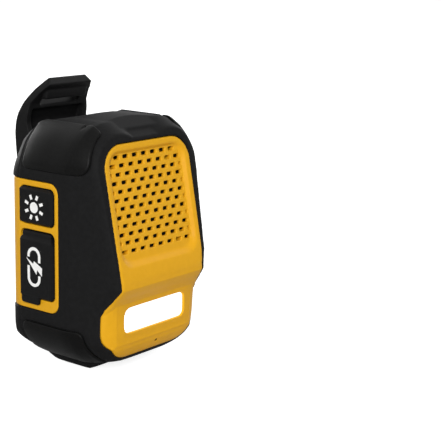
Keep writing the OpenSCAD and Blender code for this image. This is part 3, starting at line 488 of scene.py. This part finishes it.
# Grille panel: one satin yellow moulding on the tub's ledge; it leans back over the driver
# and steps down to the bezel of the work light. Sound slots go through a sunken field, and
# a small port for the microphone through the chin, its wall painted dark as shade.
panel_yellow = moulded("panel_yellow", (0.732, 0.366, 0.0085), (0.756, 0.381, 0.0105),
                       grain=3800, depth=0.00003, rough=0.46, specular=0.18, edge_highlight=0.12)
panel_thick = 0.003
cloth_inset = 0.0004
field_deep = 0.0016
field_round = 0.0056
wall_foot, wall_side, wall_low, wall_top = 0.0003, 0.0014, 0.0026, 0.0016
stroke = next(j for j in frame["joints"] if j["name"] == "cone_stroke")
drive_axis = Vector(stroke["axis"]).normalized()
lean = -drive_axis.z / drive_axis.y
field_x = cloth_high.x + cloth_inset
field_low, field_top = cloth_low.z - cloth_inset, cloth_high.z + cloth_inset


def outside(co, half_x, low_z, top_z):
    """Signed distance, seen from the front, to a rectangle with the field's round corners."""
    middle_z, half_z = (low_z + top_z) / 2, (top_z - low_z) / 2
    sides = np.column_stack([abs(co[:, 0]) - half_x, abs(co[:, 2] - middle_z) - half_z])
    sides += field_round
    return np.linalg.norm(np.maximum(sides, 0), axis=1) + np.minimum(sides.max(axis=1), 0) - field_round


def sloped_field(co):
    """Presses the face in round the grille field, so that the field's wall is a slope, widest below."""
    inner = outside(co, field_x - wall_foot, field_low + wall_foot, field_top - wall_foot)
    outer = outside(co, field_x + wall_side, field_low - wall_low, field_top + wall_top)
    depth = field_deep * (1 - smooth(np.clip(inner / np.maximum(inner - outer, 1e-9), 0, 1)))
    under = co[:, 1] - (cloth_low.y - panel_thick + lean * (co[:, 2] - cloth_low.z))
    pressed = np.array(co)
    pressed[:, 1] += np.where((depth > 0) & (under < depth), depth - under, 0)
    return pressed


port_r = 0.00048
# Painted shade: the wall of the microphone port is coloured near black. It stands in for the shadow inside the
# hole.
port_painted_shade = (0.012, 0.007, 0.002, 1)
mic_low, mic_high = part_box("microphone")
mic_at = (mic_low + mic_high) / 2
port_rim = points_of(frame["nodes"]["front_panel"].data)
port_rim = port_rim[np.hypot(port_rim[:, 0] - mic_at.x, port_rim[:, 2] - mic_at.z) < 2 * port_r]
port = eased(port_rim[port_rim[:, 1] < port_rim[:, 1].mean()]).mean(0)
paint_tree = panel_yellow.node_tree
base = paint_tree.nodes["Principled BSDF"].inputs["Base Color"]
flat = put(paint_tree, "ShaderNodeVectorMath", {0: put(paint_tree, "ShaderNodeTexCoord").outputs["Object"],
                                                1: (1.0, 0.0, 1.0)}, operation="MULTIPLY")
from_port = put(paint_tree, "ShaderNodeVectorMath", {0: flat.outputs[0],
                                                     1: (float(port[0]), 0.0, float(port[2]))},
                operation="DISTANCE")
port_shade_mask = put(paint_tree, "ShaderNodeMapRange", {"Value": from_port.outputs["Value"],
                                                 "From Min": port_r * 1.2, "From Max": port_r})
port_shaded = put(paint_tree, "ShaderNodeMix", {"Factor": port_shade_mask.outputs["Result"],
                                          "A": base.links[0].from_socket, "B": port_painted_shade}, data_type="RGBA")
paint_tree.links.new(port_shaded.outputs["Result"], base)
panel = soften("front_panel", "grille_panel", voxel=0.00026, passes=5, keep=0.3, paint=panel_yellow,
               shape=sloped_field)


# Dust cloth: plain-woven black mesh glued behind the sound slots, with its corners cut off
# and round holes where the panel's screw bosses pass through it.
def reckon(tree, operation, *values):
    """Result of one step of arithmetic in a tree."""
    return put(tree, "ShaderNodeMath", dict(enumerate(values)), operation=operation).outputs[0]


def woven(tree, size):
    """Threads both ways on a square pitch; each dips under every second thread that it meets."""
    spot = put(tree, "GeometryNodeInputPosition").outputs[0]
    threads = put(tree, "GeometryNodeJoinGeometry")
    for along, across, sign in (("X", "Y", 1.0), ("Y", "X", -1.0)):
        points = put(tree, "GeometryNodeMeshGrid", {"Size X": size["Size " + along],
                                                    "Size Y": size["Size " + across],
                                                    "Vertices X": size["Points " + along],
                                                    "Vertices Y": size["Threads " + across]})
        ends = put(tree, "GeometryNodeInputMeshEdgeVertices")
        apart = put(tree, "ShaderNodeVectorMath", {0: ends.outputs["Position 1"],
                                                   1: ends.outputs["Position 2"]}, operation="SUBTRACT")
        rise = put(tree, "ShaderNodeSeparateXYZ", {0: apart.outputs[0]})
        crosswise = put(tree, "FunctionNodeCompare", {"A": reckon(tree, "ABSOLUTE", rise.outputs["Y"]),
                                                      "B": 1e-6},
                        data_type="FLOAT", operation="GREATER_THAN")
        line = put(tree, "GeometryNodeDeleteGeometry", {"Geometry": points.outputs["Mesh"],
                                                        "Selection": crosswise.outputs[0]},
                   domain="EDGE", mode="EDGE_FACE")
        quarter = 0.0 if along == "X" else math.pi / 2
        turned = put(tree, "GeometryNodeTransform", {"Geometry": line.outputs[0],
                                                     "Rotation": (0.0, 0.0, quarter)})
        part = put(tree, "ShaderNodeSeparateXYZ", {0: spot})
        waves = [reckon(tree, "COSINE", reckon(tree, "MULTIPLY", part.outputs[axis], size["Turn Rate"]))
                 for axis in ("X", "Y")]
        dip = reckon(tree, "MULTIPLY", reckon(tree, "MULTIPLY", *waves), size["Dip"])
        offset = put(tree, "ShaderNodeCombineXYZ", {"Z": reckon(tree, "MULTIPLY", dip, sign)})
        bent = put(tree, "GeometryNodeSetPosition", {"Geometry": turned.outputs[0],
                                                     "Offset": offset.outputs[0]})
        tree.links.new(bent.outputs[0], threads.inputs[0])
    plain = put(tree, "ShaderNodeVectorMath", {0: spot}, operation="ABSOLUTE")
    from_boss = put(tree, "ShaderNodeVectorMath", {0: plain.outputs[0], 1: size["Boss Place"]},
                    operation="DISTANCE")
    at_boss = put(tree, "FunctionNodeCompare", {"A": from_boss.outputs["Value"], "B": size["Boss Radius"]},
                  data_type="FLOAT", operation="LESS_THAN")
    sides = put(tree, "ShaderNodeSeparateXYZ", {0: plain.outputs[0]})
    reach = reckon(tree, "ADD", sides.outputs["X"], sides.outputs["Y"])
    at_corner = put(tree, "FunctionNodeCompare", {"A": reach, "B": size["Corner Reach"]},
                    data_type="FLOAT", operation="GREATER_THAN")
    cut = put(tree, "FunctionNodeBooleanMath", {0: at_boss.outputs[0], 1: at_corner.outputs[0]},
              operation="OR")
    kept = put(tree, "GeometryNodeDeleteGeometry", {"Geometry": threads.outputs[0],
                                                    "Selection": cut.outputs[0]})
    wire = put(tree, "GeometryNodeMeshToCurve", {0: kept.outputs[0]})
    ring = put(tree, "GeometryNodeCurvePrimitiveCircle", {"Resolution": 5, "Radius": size["Thread Radius"]})
    tube = put(tree, "GeometryNodeCurveToMesh", {"Curve": wire.outputs[0], "Profile Curve": ring.outputs[0],
                                                 "Fill Caps": True})
    return put(tree, "GeometryNodeTransform", {"Geometry": tube.outputs[0], "Translation": size["Place"],
                                               "Rotation": size["Turn"]}).outputs[0]


drive_turn = math.atan2(-drive_axis.y, drive_axis.z)
boss_at = 0.0152
boss_r = 0.0029
thread_pitch, thread_dip, thread_r = 0.0009, 0.00011, 0.00013
corner_cut = 0.003
across_n = int((cloth_high.x - cloth_low.x) / thread_pitch / 2) * 2
along_n = int((cloth_high.z - cloth_low.z) / math.sin(drive_turn) / thread_pitch / 2) * 2
cloth_black = moulded("cloth_black", (0.006, 0.006, 0.006), (0.011, 0.011, 0.011),
                      grain=9000, depth=0.00002, rough=0.85, specular=0.1)
cloth = grow("dust_cloth", woven, {
    "Size X": across_n * thread_pitch, "Size Y": along_n * thread_pitch,
    "Points X": 2 * across_n + 1, "Points Y": 2 * along_n + 1,
    "Threads X": across_n + 1, "Threads Y": along_n + 1,
    "Turn Rate": math.pi / thread_pitch, "Dip": thread_dip, "Thread Radius": thread_r,
    "Boss Place": (boss_at, boss_at, 0.0), "Boss Radius": boss_r,
    "Corner Reach": (across_n + along_n) * thread_pitch / 2 - corner_cut,
    "Place": tuple((cloth_low + cloth_high) / 2), "Turn": (drive_turn, 0.0, 0.0)}, cloth_black, "housing")
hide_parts("acoustic_mesh")


# Driver: pressed steel frame with a ferrite magnet, a paper cone on its coil former and a
# rubber half-roll surround, in fixed sectors that each reach from frame to cone; four screws
# hold the frame to the bosses behind the grille.
def fibrous(name, low, high, rough):
    """Pressed paper: short fibres lying every way, in colour and in relief."""
    mat, tree, bsdf, coord = blank_finish(name)
    fibre = put(tree, "ShaderNodeTexNoise", {"Vector": coord, "Scale": 2600.0, "Detail": 6.0,
                                             "Distortion": 2.5})
    tint = two_tone(tree, fibre.outputs["Fac"], (0.3, 0.7), (low, high))
    tree.links.new(tint, bsdf.inputs["Base Color"])
    bump = put(tree, "ShaderNodeBump", {"Strength": 0.5, "Distance": 0.00006, "Height": fibre.outputs["Fac"]})
    tree.links.new(bump.outputs["Normal"], bsdf.inputs["Normal"])
    bsdf.inputs["Roughness"].default_value = rough
    return mat


dress(metal("basket_black", (0.02, 0.02, 0.021), (0.035, 0.035, 0.036), rough=0.45,
            streaks=(30.0, 30.0, 30.0)), "driver_basket")
dress(moulded("magnet_ferrite", (0.03, 0.03, 0.032), (0.05, 0.05, 0.052),
              grain=1800, depth=0.00004, rough=0.6, specular=0.3), "driver_magnet")
dress(fibrous("cone_paper", (0.008, 0.008, 0.008), (0.018, 0.018, 0.0175), rough=0.8), "driver_cone")
surround_rubber = moulded("surround_rubber", (0.007, 0.007, 0.007), (0.01, 0.01, 0.01),
                          grain=3000, depth=0.00003, rough=0.5, specular=0.2)
roll_r, roll_outer, roll_inner = 0.0157, 0.0015, 0.001
flange_r, flange_t = 0.0184, 0.0004
lip_in, lip_out, lip_low, lip_high = 0.014, 0.0147, -0.0003, 0.0001
roll_n, sector_n, sector_steps = 10, 12, 6
over_roll = [math.pi * k / roll_n for k in range(1, roll_n)]
# Radius and height: flange on the frame, over the roll to the lip on the cone, and back under it.
surround_profile = [(flange_r, 0), (flange_r, flange_t), (roll_r + roll_outer, flange_t)]
surround_profile += [(roll_r + roll_outer * math.cos(a), roll_outer * math.sin(a)) for a in over_roll]
surround_profile += [(roll_r - roll_outer, lip_high), (lip_in, lip_high), (lip_in, lip_low),
                     (lip_out, lip_low)]
surround_profile += [(roll_r - roll_inner * math.cos(a), roll_inner * math.sin(a)) for a in [0] + over_roll]
surround_profile += [(roll_r + roll_inner, 0)]
ring_points = points_of(frame["nodes"]["driver_surround"].data)
ring_side = Vector((1, 0, 0))
ring_rise = drive_axis.cross(ring_side)
rises = ring_points @ np.array(ring_rise)
ring_centre = ring_rise * float(rises.min() + rises.max()) / 2
ring_centre += drive_axis * (float((ring_points @ np.array(drive_axis)).min()) - lip_low)


def on_ring(r, z, angle):
    """Point at a radius from the driver's axis, a height along it and an angle round it."""
    return ring_centre + (ring_side * math.cos(angle) + ring_rise * math.sin(angle)) * r + drive_axis * z


for sector in range(sector_n):
    bm = bmesh.new()
    turns_at = [math.tau * (sector + k / sector_steps) / sector_n for k in range(sector_steps + 1)]
    rows = [[bm.verts.new(on_ring(r, z, a)) for r, z in surround_profile] for a in turns_at]
    for here, there in zip(rows, rows[1:]):
        for i in range(len(here)):
            bm.faces.new((here[i - 1], here[i], there[i], there[i - 1]))
    ends = [bm.faces.new(rows[0]), bm.faces.new(rows[-1])]
    bmesh.ops.recalc_face_normals(bm, faces=bm.faces)
    bmesh.ops.triangulate(bm, faces=ends)
    mesh = mesh_of(bm, "surround_sector")
    mesh.materials.append(surround_rubber)
    piece = linked(f"surround_sector_{sector + 1:02d}", mesh)
    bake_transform(piece)
    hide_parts("driver_surround")
low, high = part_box("driver_screws")
driver_head_r = 0.0019
driver_head_h = 0.0014
driver_shank = 0.0035
middle = (low + high) / 2
seat = middle - drive_axis * (driver_shank - driver_head_h) / 2
screws("driver_frame_screws", "driver_screws", driver_head_r, driver_head_h, shank_r=0.0009,
       shank_l=driver_shank, across=2 * boss_at, along=2 * boss_at, place=seat, turn=drive_turn + math.pi)


# Work light: white diffusing window with a painted glow, over a white light frame, a board and
# its diodes, stacked behind the bezel. A small microphone sits behind the hole below it.
def board(name, mask, track, rough):
    """Circuit board: solder mask over fine tracks that run in parallel bundles, glossy."""
    mat, tree, bsdf, coord = blank_finish(name)
    route = put(tree, "ShaderNodeTexWave", {"Vector": coord, "Scale": 420.0, "Distortion": 6.0,
                                            "Detail": 0.0}, bands_direction="Z")
    tint = two_tone(tree, route.outputs["Fac"], (0.55, 0.62), (mask, track))
    tree.links.new(tint, bsdf.inputs["Base Color"])
    bump = put(tree, "ShaderNodeBump", {"Strength": 0.4, "Distance": 0.00003, "Height": tint})
    tree.links.new(bump.outputs["Normal"], bsdf.inputs["Normal"])
    bsdf.inputs["Roughness"].default_value = rough
    return mat


window_white = moulded("window_white", (0.86, 0.86, 0.85), (0.9, 0.9, 0.89),
                       grain=900, depth=0.00001, rough=0.35, specular=0.4)
window_bsdf = window_white.node_tree.nodes["Principled BSDF"]
# Painted glow: the window emits a little light so that it shows white, though the diodes behind it are unlit.
window_painted_glow, window_sunk = 0.9, 0.0005
window_bsdf.inputs["Emission Color"].default_value = (1, 1, 0.99, 1)
window_bsdf.inputs["Emission Strength"].default_value = window_painted_glow


def set_back(co):
    """Holds the face of the window a little behind the bezel's, so that the bezel's edge shows."""
    held = np.array(co)
    held[:, 1] = np.maximum(held[:, 1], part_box("light_lens")[0].y + window_sunk)
    return held


window = soften("light_lens", "light_window", voxel=0.00026, passes=3, keep=0.3, paint=window_white,
                shape=set_back)
board_green = board("board_green", (0.008, 0.06, 0.022), (0.02, 0.12, 0.04), rough=0.32)
dress(board_green, "led_board")
dress(moulded("frame_white", (0.72, 0.72, 0.7), (0.8, 0.8, 0.78),
              grain=1600, depth=0.00002, rough=0.5, specular=0.3), "light_reflector")
dress(moulded("diode_yellow", (0.7, 0.55, 0.08), (0.8, 0.66, 0.12),
              grain=1500, depth=0.00001, rough=0.3, specular=0.5), "light_leds")
dress(moulded("microphone_felt", (0.004, 0.004, 0.004), (0.008, 0.008, 0.008),
              grain=5000, depth=0.00004, rough=0.9, specular=0.05), "microphone")

# Electronics: a main board on the battery tray, a narrow board behind the keys of each side
# with snap switches and the charging socket, the cell in its tray, and soldered leads.
dress(board_green, "main_board", "switch_board_left", "switch_board_right")
dress(moulded("part_black", (0.02, 0.02, 0.02), (0.035, 0.035, 0.035),
              grain=2400, depth=0.00002, rough=0.45, specular=0.35),
      "board_parts", "tact_switches", "battery_tray")
bright_steel = metal("bright_steel", (0.33, 0.33, 0.34), (0.52, 0.52, 0.53), rough=0.34,
                     streaks=(90.0, 90.0, 8.0))
dress(bright_steel, "usb_socket")
dress(moulded("cell_wrap", (0.16, 0.17, 0.19), (0.21, 0.22, 0.24),
              grain=700, depth=0.00002, rough=0.35, specular=0.4), "battery_pack")
dress(moulded("lead_red", (0.42, 0.02, 0.015), (0.5, 0.03, 0.02),
              grain=1500, depth=0.00001, rough=0.4, specular=0.35), "speaker_leads", "led_leads")

# Side panels: yellow mouldings inlaid in pockets of tub and cover, with windows for the
# keys and the charging cover; they wrap round the rear corners as far as the clip.
for hand in ("left", "right"):
    strip = soften("side_panel_" + hand, "side_strip_" + hand, voxel=0.00026, passes=4, keep=0.4,
                   paint=panel_yellow)

# Keys and charging cover: black rubber caps with drafted sides that stand through the side
# panels; the cover's top edge is rolled and held behind its window, so it swings up.
key_rubber = moulded("key_rubber", (0.0052, 0.0052, 0.0054), (0.0073, 0.0073, 0.0075),
                     grain=6500, depth=0.00004, rough=0.52, specular=0.09)
switch_gap = 0.00015


def short_of_switch(co):
    """Takes a hair off the plunger's end, so that a key stops on its switch and not in it."""
    inward = abs(co[:, 0]).max() - abs(co[:, 0])
    shortened = np.array(co)
    shortened[:, 0] += np.sign(co[:, 0]) * switch_gap * np.clip(2 * inward / inward.max() - 1, 0, 1)
    return shortened


for node in ("light_button", "power_button", "volume_up_button", "volume_down_button", "charge_cover"):
    cap = soften(node, node + "_cap", voxel=0.0002, passes=5, keep=0.4, paint=key_rubber, ease=False,
                 shape=None if node == "charge_cover" else short_of_switch)

# Key signs: white ink filled flush into the rubber: a sun for the light, a flash in a long
# ring for charging, a ring for power, and plus and minus for the volume.
sign_deep = 0.0003
sign_proud = 0.00005
sign_white = moulded("sign_white", (0.87, 0.87, 0.85), (0.92, 0.92, 0.9),
                     grain=2500, depth=0.00001, rough=0.55, specular=0.2)


def rays_and_disc(tree, size):
    """Sun: a disc, and rays set out at equal angles round it, both as thin plates facing X."""
    disc = put(tree, "GeometryNodeMeshCylinder", {"Vertices": 40, "Radius": size["Disc Radius"],
                                                  "Depth": size["Thickness"]})
    ray = put(tree, "GeometryNodeMeshCube", {"Size": size["Ray Size"]})
    ring = put(tree, "GeometryNodeMeshCircle", {"Vertices": size["Ray Count"], "Radius": size["Ray Radius"]})
    order = put(tree, "GeometryNodeInputIndex")
    step = reckon(tree, "DIVIDE", math.tau, size["Ray Count"])
    turn = put(tree, "ShaderNodeCombineXYZ", {"Z": reckon(tree, "MULTIPLY", order.outputs[0], step)})
    spread = put(tree, "GeometryNodeInstanceOnPoints", {"Points": ring.outputs[0], "Instance": ray.outputs[0],
                                                        "Rotation": turn.outputs[0]})
    sun = put(tree, "GeometryNodeJoinGeometry", {0: disc.outputs["Mesh"]})
    tree.links.new(spread.outputs[0], sun.inputs[0])
    spun = put(tree, "GeometryNodeTransform", {"Geometry": sun.outputs[0], "Rotation": size["First Ray"]})
    return put(tree, "GeometryNodeTransform", {"Geometry": spun.outputs[0], "Translation": size["Place"],
                                               "Rotation": (0.0, math.pi / 2, 0.0)}).outputs[0]


def plates(piece_name, outlines, node):
    """Thin plates from closed outlines in (y, z), let into the outer face of a key."""
    low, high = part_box(node)
    side = -1 if low.x < 0 else 1
    face = low.x if side < 0 else high.x
    bm = bmesh.new()
    for outline in outlines:
        back = [bm.verts.new((face - side * sign_deep, y, z)) for y, z in outline]
        front = [bm.verts.new((face + side * sign_proud, y, z)) for y, z in outline]
        bm.faces.new(back)
        bm.faces.new(front)
        for i in range(len(outline)):
            j = (i + 1) % len(outline)
            bm.faces.new((back[i], back[j], front[j], front[i]))
    bmesh.ops.recalc_face_normals(bm, faces=bm.faces)
    bmesh.ops.triangulate(bm, faces=[f for f in bm.faces if len(f.verts) > 4])
    mesh = mesh_of(bm, piece_name)
    mesh.materials.append(sign_white)
    piece = linked(piece_name, mesh)
    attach(piece, body_of(node))


def ring_pieces(path, width, clear=None):
    """Outlines of the strips of a closed line of some width, without those that clear() drops."""
    strips = []
    n = len(path)
    sides = []
    for i, here in enumerate(path):
        along = (path[(i + 1) % n] - path[i - 1]).normalized()
        across = Vector((-along.y, along.x)) * width / 2
        sides.append((here - across, here + across))
    for i in range(n):
        j = (i + 1) % n
        if clear is None or not clear((path[i] + path[j]) / 2):
            strips.append([sides[i][0], sides[j][0], sides[j][1], sides[i][1]])
    return strips


sun_y, sun_z, sun_r = 0.0049, 0.0606, 0.00195
ray_n, ray_inner, ray_outer, ray_wide = 8, 0.0030, 0.0047, 0.0011
key_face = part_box("light_button")[0].x
sign_thick = sign_deep + sign_proud
sun = grow("sun_sign", rays_and_disc, {
    "Disc Radius": sun_r, "Thickness": sign_thick, "Ray Count": ray_n,
    "Ray Radius": (ray_inner + ray_outer) / 2,
    "Ray Size": (ray_outer - ray_inner, ray_wide, sign_thick), "First Ray": (0.0, 0.0, math.pi / ray_n),
    "Place": (key_face + (sign_deep - sign_proud) / 2, sun_y, sun_z)}, sign_white, "light_key")

flash_mm = ((9.0, 42.15), (5.6, 40.2), (5.1, 41.25), (1.1, 39.25), (1.2, 36.25), (3.55, 38.25), (3.95, 36.5))
flash = [Vector(p) / 1000 for p in flash_mm]
pill_y, pill_z, pill_r, pill_half, pill_line = 0.00515, 0.03908, 0.00267, 0.004, 0.00115
pill_clear = 0.0009
turn_n, straight_n = 48, 30
pill = []
for turn in range(turn_n):
    a = math.tau * (turn + 0.5) / turn_n
    end = pill_half if math.sin(a) > 0 else -pill_half
    pill.append(Vector((pill_y + pill_r * math.cos(a), pill_z + end + pill_r * math.sin(a))))
rise = [Vector((0, pill_half * (2 * k / straight_n - 1))) for k in range(1, straight_n)]
middle_right = Vector((pill_y + pill_r, pill_z))
middle_left = Vector((pill_y - pill_r, pill_z))
top_end, low_end = pill[:turn_n // 2], pill[turn_n // 2:]
pill = top_end + [middle_left - r for r in rise] + low_end + [middle_right + r for r in rise]


def by_flash(point):
    """True where a point of the long ring lies in the flash or close to its edge."""
    inside = False
    for i, a in enumerate(flash):
        b = flash[i - 1]
        t = max(0.0, min(1.0, (point - a).dot(b - a) / (b - a).length_squared))
        if (point - a - (b - a) * t).length < pill_clear:
            return True
        if (a.y > point.y) != (b.y > point.y) and point.x < (b.x - a.x) * (point.y - a.y) / (b.y - a.y) + a.x:
            inside = not inside
    return inside


plates("charge_sign", [flash] + ring_pieces(pill, pill_line, by_flash), "charge_cover")

ring_y, ring_z, ring_outer, ring_inner, ring_n = 0.0049, 0.0612, 0.0043, 0.00275, 56
ring_mid = (ring_outer + ring_inner) / 2
circle = [Vector((ring_y + ring_mid * math.cos(a), ring_z + ring_mid * math.sin(a)))
          for a in (math.tau * k / ring_n for k in range(ring_n))]
plates("power_sign", ring_pieces(circle, ring_outer - ring_inner), "power_button")

plus_y, plus_z, arm_long, arm_half = 0.0046, 0.0445, 0.0037, 0.001
step_out = [(arm_half, arm_half), (arm_half, arm_long), (-arm_half, arm_long), (-arm_half, arm_half),
            (-arm_long, arm_half), (-arm_long, -arm_half), (-arm_half, -arm_half), (-arm_half, -arm_long),
            (arm_half, -arm_long), (arm_half, -arm_half), (arm_long, -arm_half), (arm_long, arm_half)]
plates("plus_sign", [[(plus_y + y, plus_z + z) for y, z in step_out]], "volume_up_button")
minus_y, minus_z, bar_half, bar_high = 0.0050, 0.0306, 0.0037, 0.0026
plates("minus_sign", [[(minus_y + y * bar_half, minus_z + z * bar_high / 2) for y, z in corners]],
       "volume_down_button")

# Belt clip: tray-shaped black lever with shoulders, grip ribs and a lanyard slot, moulded in
# one piece and hung on a steel pin between the cover's knuckles.
dress(bright_steel, "clip_pin")
clip_black = moulded("clip_black", (0.0068, 0.0068, 0.0069), (0.009, 0.009, 0.0092),
                     grain=5600, depth=0.00005, rough=0.52, specular=0.07, edge_highlight=0.3)
slot_lip = ((-0.0104, 0.0185, 0.0949), (0.0104, 0.0212, 0.0977))
bow_low, bow_full, bow_top = 0.056, 0.0875, 0.1026
ears_y, ears_top, back_skin = 0.0245, 0.0795, 0.002
bow_out = 0.0021
head_lift = 0.001
curl_y, curl_z, curl_r = -0.0006, 0.0806, 0.0296
rib_gain = 2.3


def eased_step(value, start, end):
    return smooth(np.clip((value - start) / (end - start), 0, 1))


def bowed(co):
    """Bows the blade out behind its ears, lifts its head a little and lets the grip ribs stand higher."""
    over = np.clip((co[:, 2] - bow_full) / (bow_top - bow_full), 0, 1)
    behind_ears = np.maximum(eased_step(co[:, 1], ears_y, clip_high.y - back_skin),
                             eased_step(co[:, 2], ears_top, bow_full))
    bent = np.array(co)
    spoke = bent[:, 1:] - (curl_y, curl_z)
    reach = np.linalg.norm(spoke, axis=1, keepdims=True)
    on_rib = (reach > curl_r) & (spoke[:, 1:] > 0)
    bent[:, 1:] += np.where(on_rib, spoke / reach * (reach - curl_r) * (rib_gain - 1), 0)
    bent[:, 1] += bow_out * eased_step(co[:, 2], bow_low, bow_full) * behind_ears * (1 - over)
    bent[:, 2] += head_lift * over
    return bent


clip = soften("clip_lever", "belt_clip", voxel=0.0003, passes=16, keep=0.4, paint=clip_black, ease=False,
              boxes=[slot_lip], shape=bowed)


# Clip spring: music wire wound five and a half turns round the pin, one leg on the cover
# and the other on the clip.
def wound(tree, size):
    """Wire along a helix round the X axis, with a straight leg at each end."""
    order = put(tree, "GeometryNodeInputIndex").outputs[0]
    line = put(tree, "GeometryNodeMeshLine", {"Count": size["Points"]})
    last = reckon(tree, "SUBTRACT", size["Points"], 1.0)
    turned = reckon(tree, "MULTIPLY", reckon(tree, "SUBTRACT", order, 1.0), size["Step"])
    angle = reckon(tree, "ADD", turned, math.pi)
    climb = reckon(tree, "MULTIPLY", turned, size["Climb"])
    spread = reckon(tree, "SUBTRACT", climb, size["Half Length"])
    round_trip = [reckon(tree, "MULTIPLY", reckon(tree, wave, angle), size["Radius"])
                  for wave in ("COSINE", "SINE")]
    spot = put(tree, "ShaderNodeCombineXYZ", {"X": spread, "Y": round_trip[0], "Z": round_trip[1]})
    placed = put(tree, "ShaderNodeVectorMath", {0: spot.outputs[0], 1: size["Axis"]}, operation="ADD")
    path = put(tree, "GeometryNodeSetPosition", {"Geometry": line.outputs[0], "Position": placed.outputs[0]})
    for which, tip in ((0.0, "First Tip"), (last, "Last Tip")):
        here = put(tree, "FunctionNodeCompare", {"A": order, "B": which}, data_type="FLOAT",
                   operation="EQUAL")
        path = put(tree, "GeometryNodeSetPosition", {"Geometry": path.outputs[0],
                                                     "Selection": here.outputs[0], "Position": size[tip]})
    wire = put(tree, "GeometryNodeMeshToCurve", {0: path.outputs[0]})
    ring = put(tree, "GeometryNodeCurvePrimitiveCircle", {"Resolution": 10, "Radius": size["Wire Radius"]})
    return put(tree, "GeometryNodeCurveToMesh", {"Curve": wire.outputs[0], "Profile Curve": ring.outputs[0],
                                                 "Fill Caps": True}).outputs[0]


hinge = next(j for j in frame["joints"] if j["name"] == "clip_hinge")
axis_y, axis_z = hinge["pos_m"][1:]
turns, pitch, coil_r, wire_r, per_turn = 5.5, 0.0014, 0.0027, 0.00045, 24
half_length = turns * pitch / 2
low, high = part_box("clip_spring")
spring = grow("clip_spring_wire", wound, {
    "Points": int(turns * per_turn) + 3, "Step": math.tau / per_turn, "Climb": pitch / math.tau,
    "Half Length": half_length, "Radius": coil_r, "Wire Radius": wire_r, "Axis": (0.0, axis_y, axis_z),
    "First Tip": (-half_length, low.y + wire_r, high.z), "Last Tip": (half_length, high.y - wire_r, high.z)},
    metal("spring_wire", (0.3, 0.3, 0.31), (0.46, 0.46, 0.47), rough=0.3, streaks=(20.0, 120.0, 120.0)), None)
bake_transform(spring)
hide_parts("clip_spring")
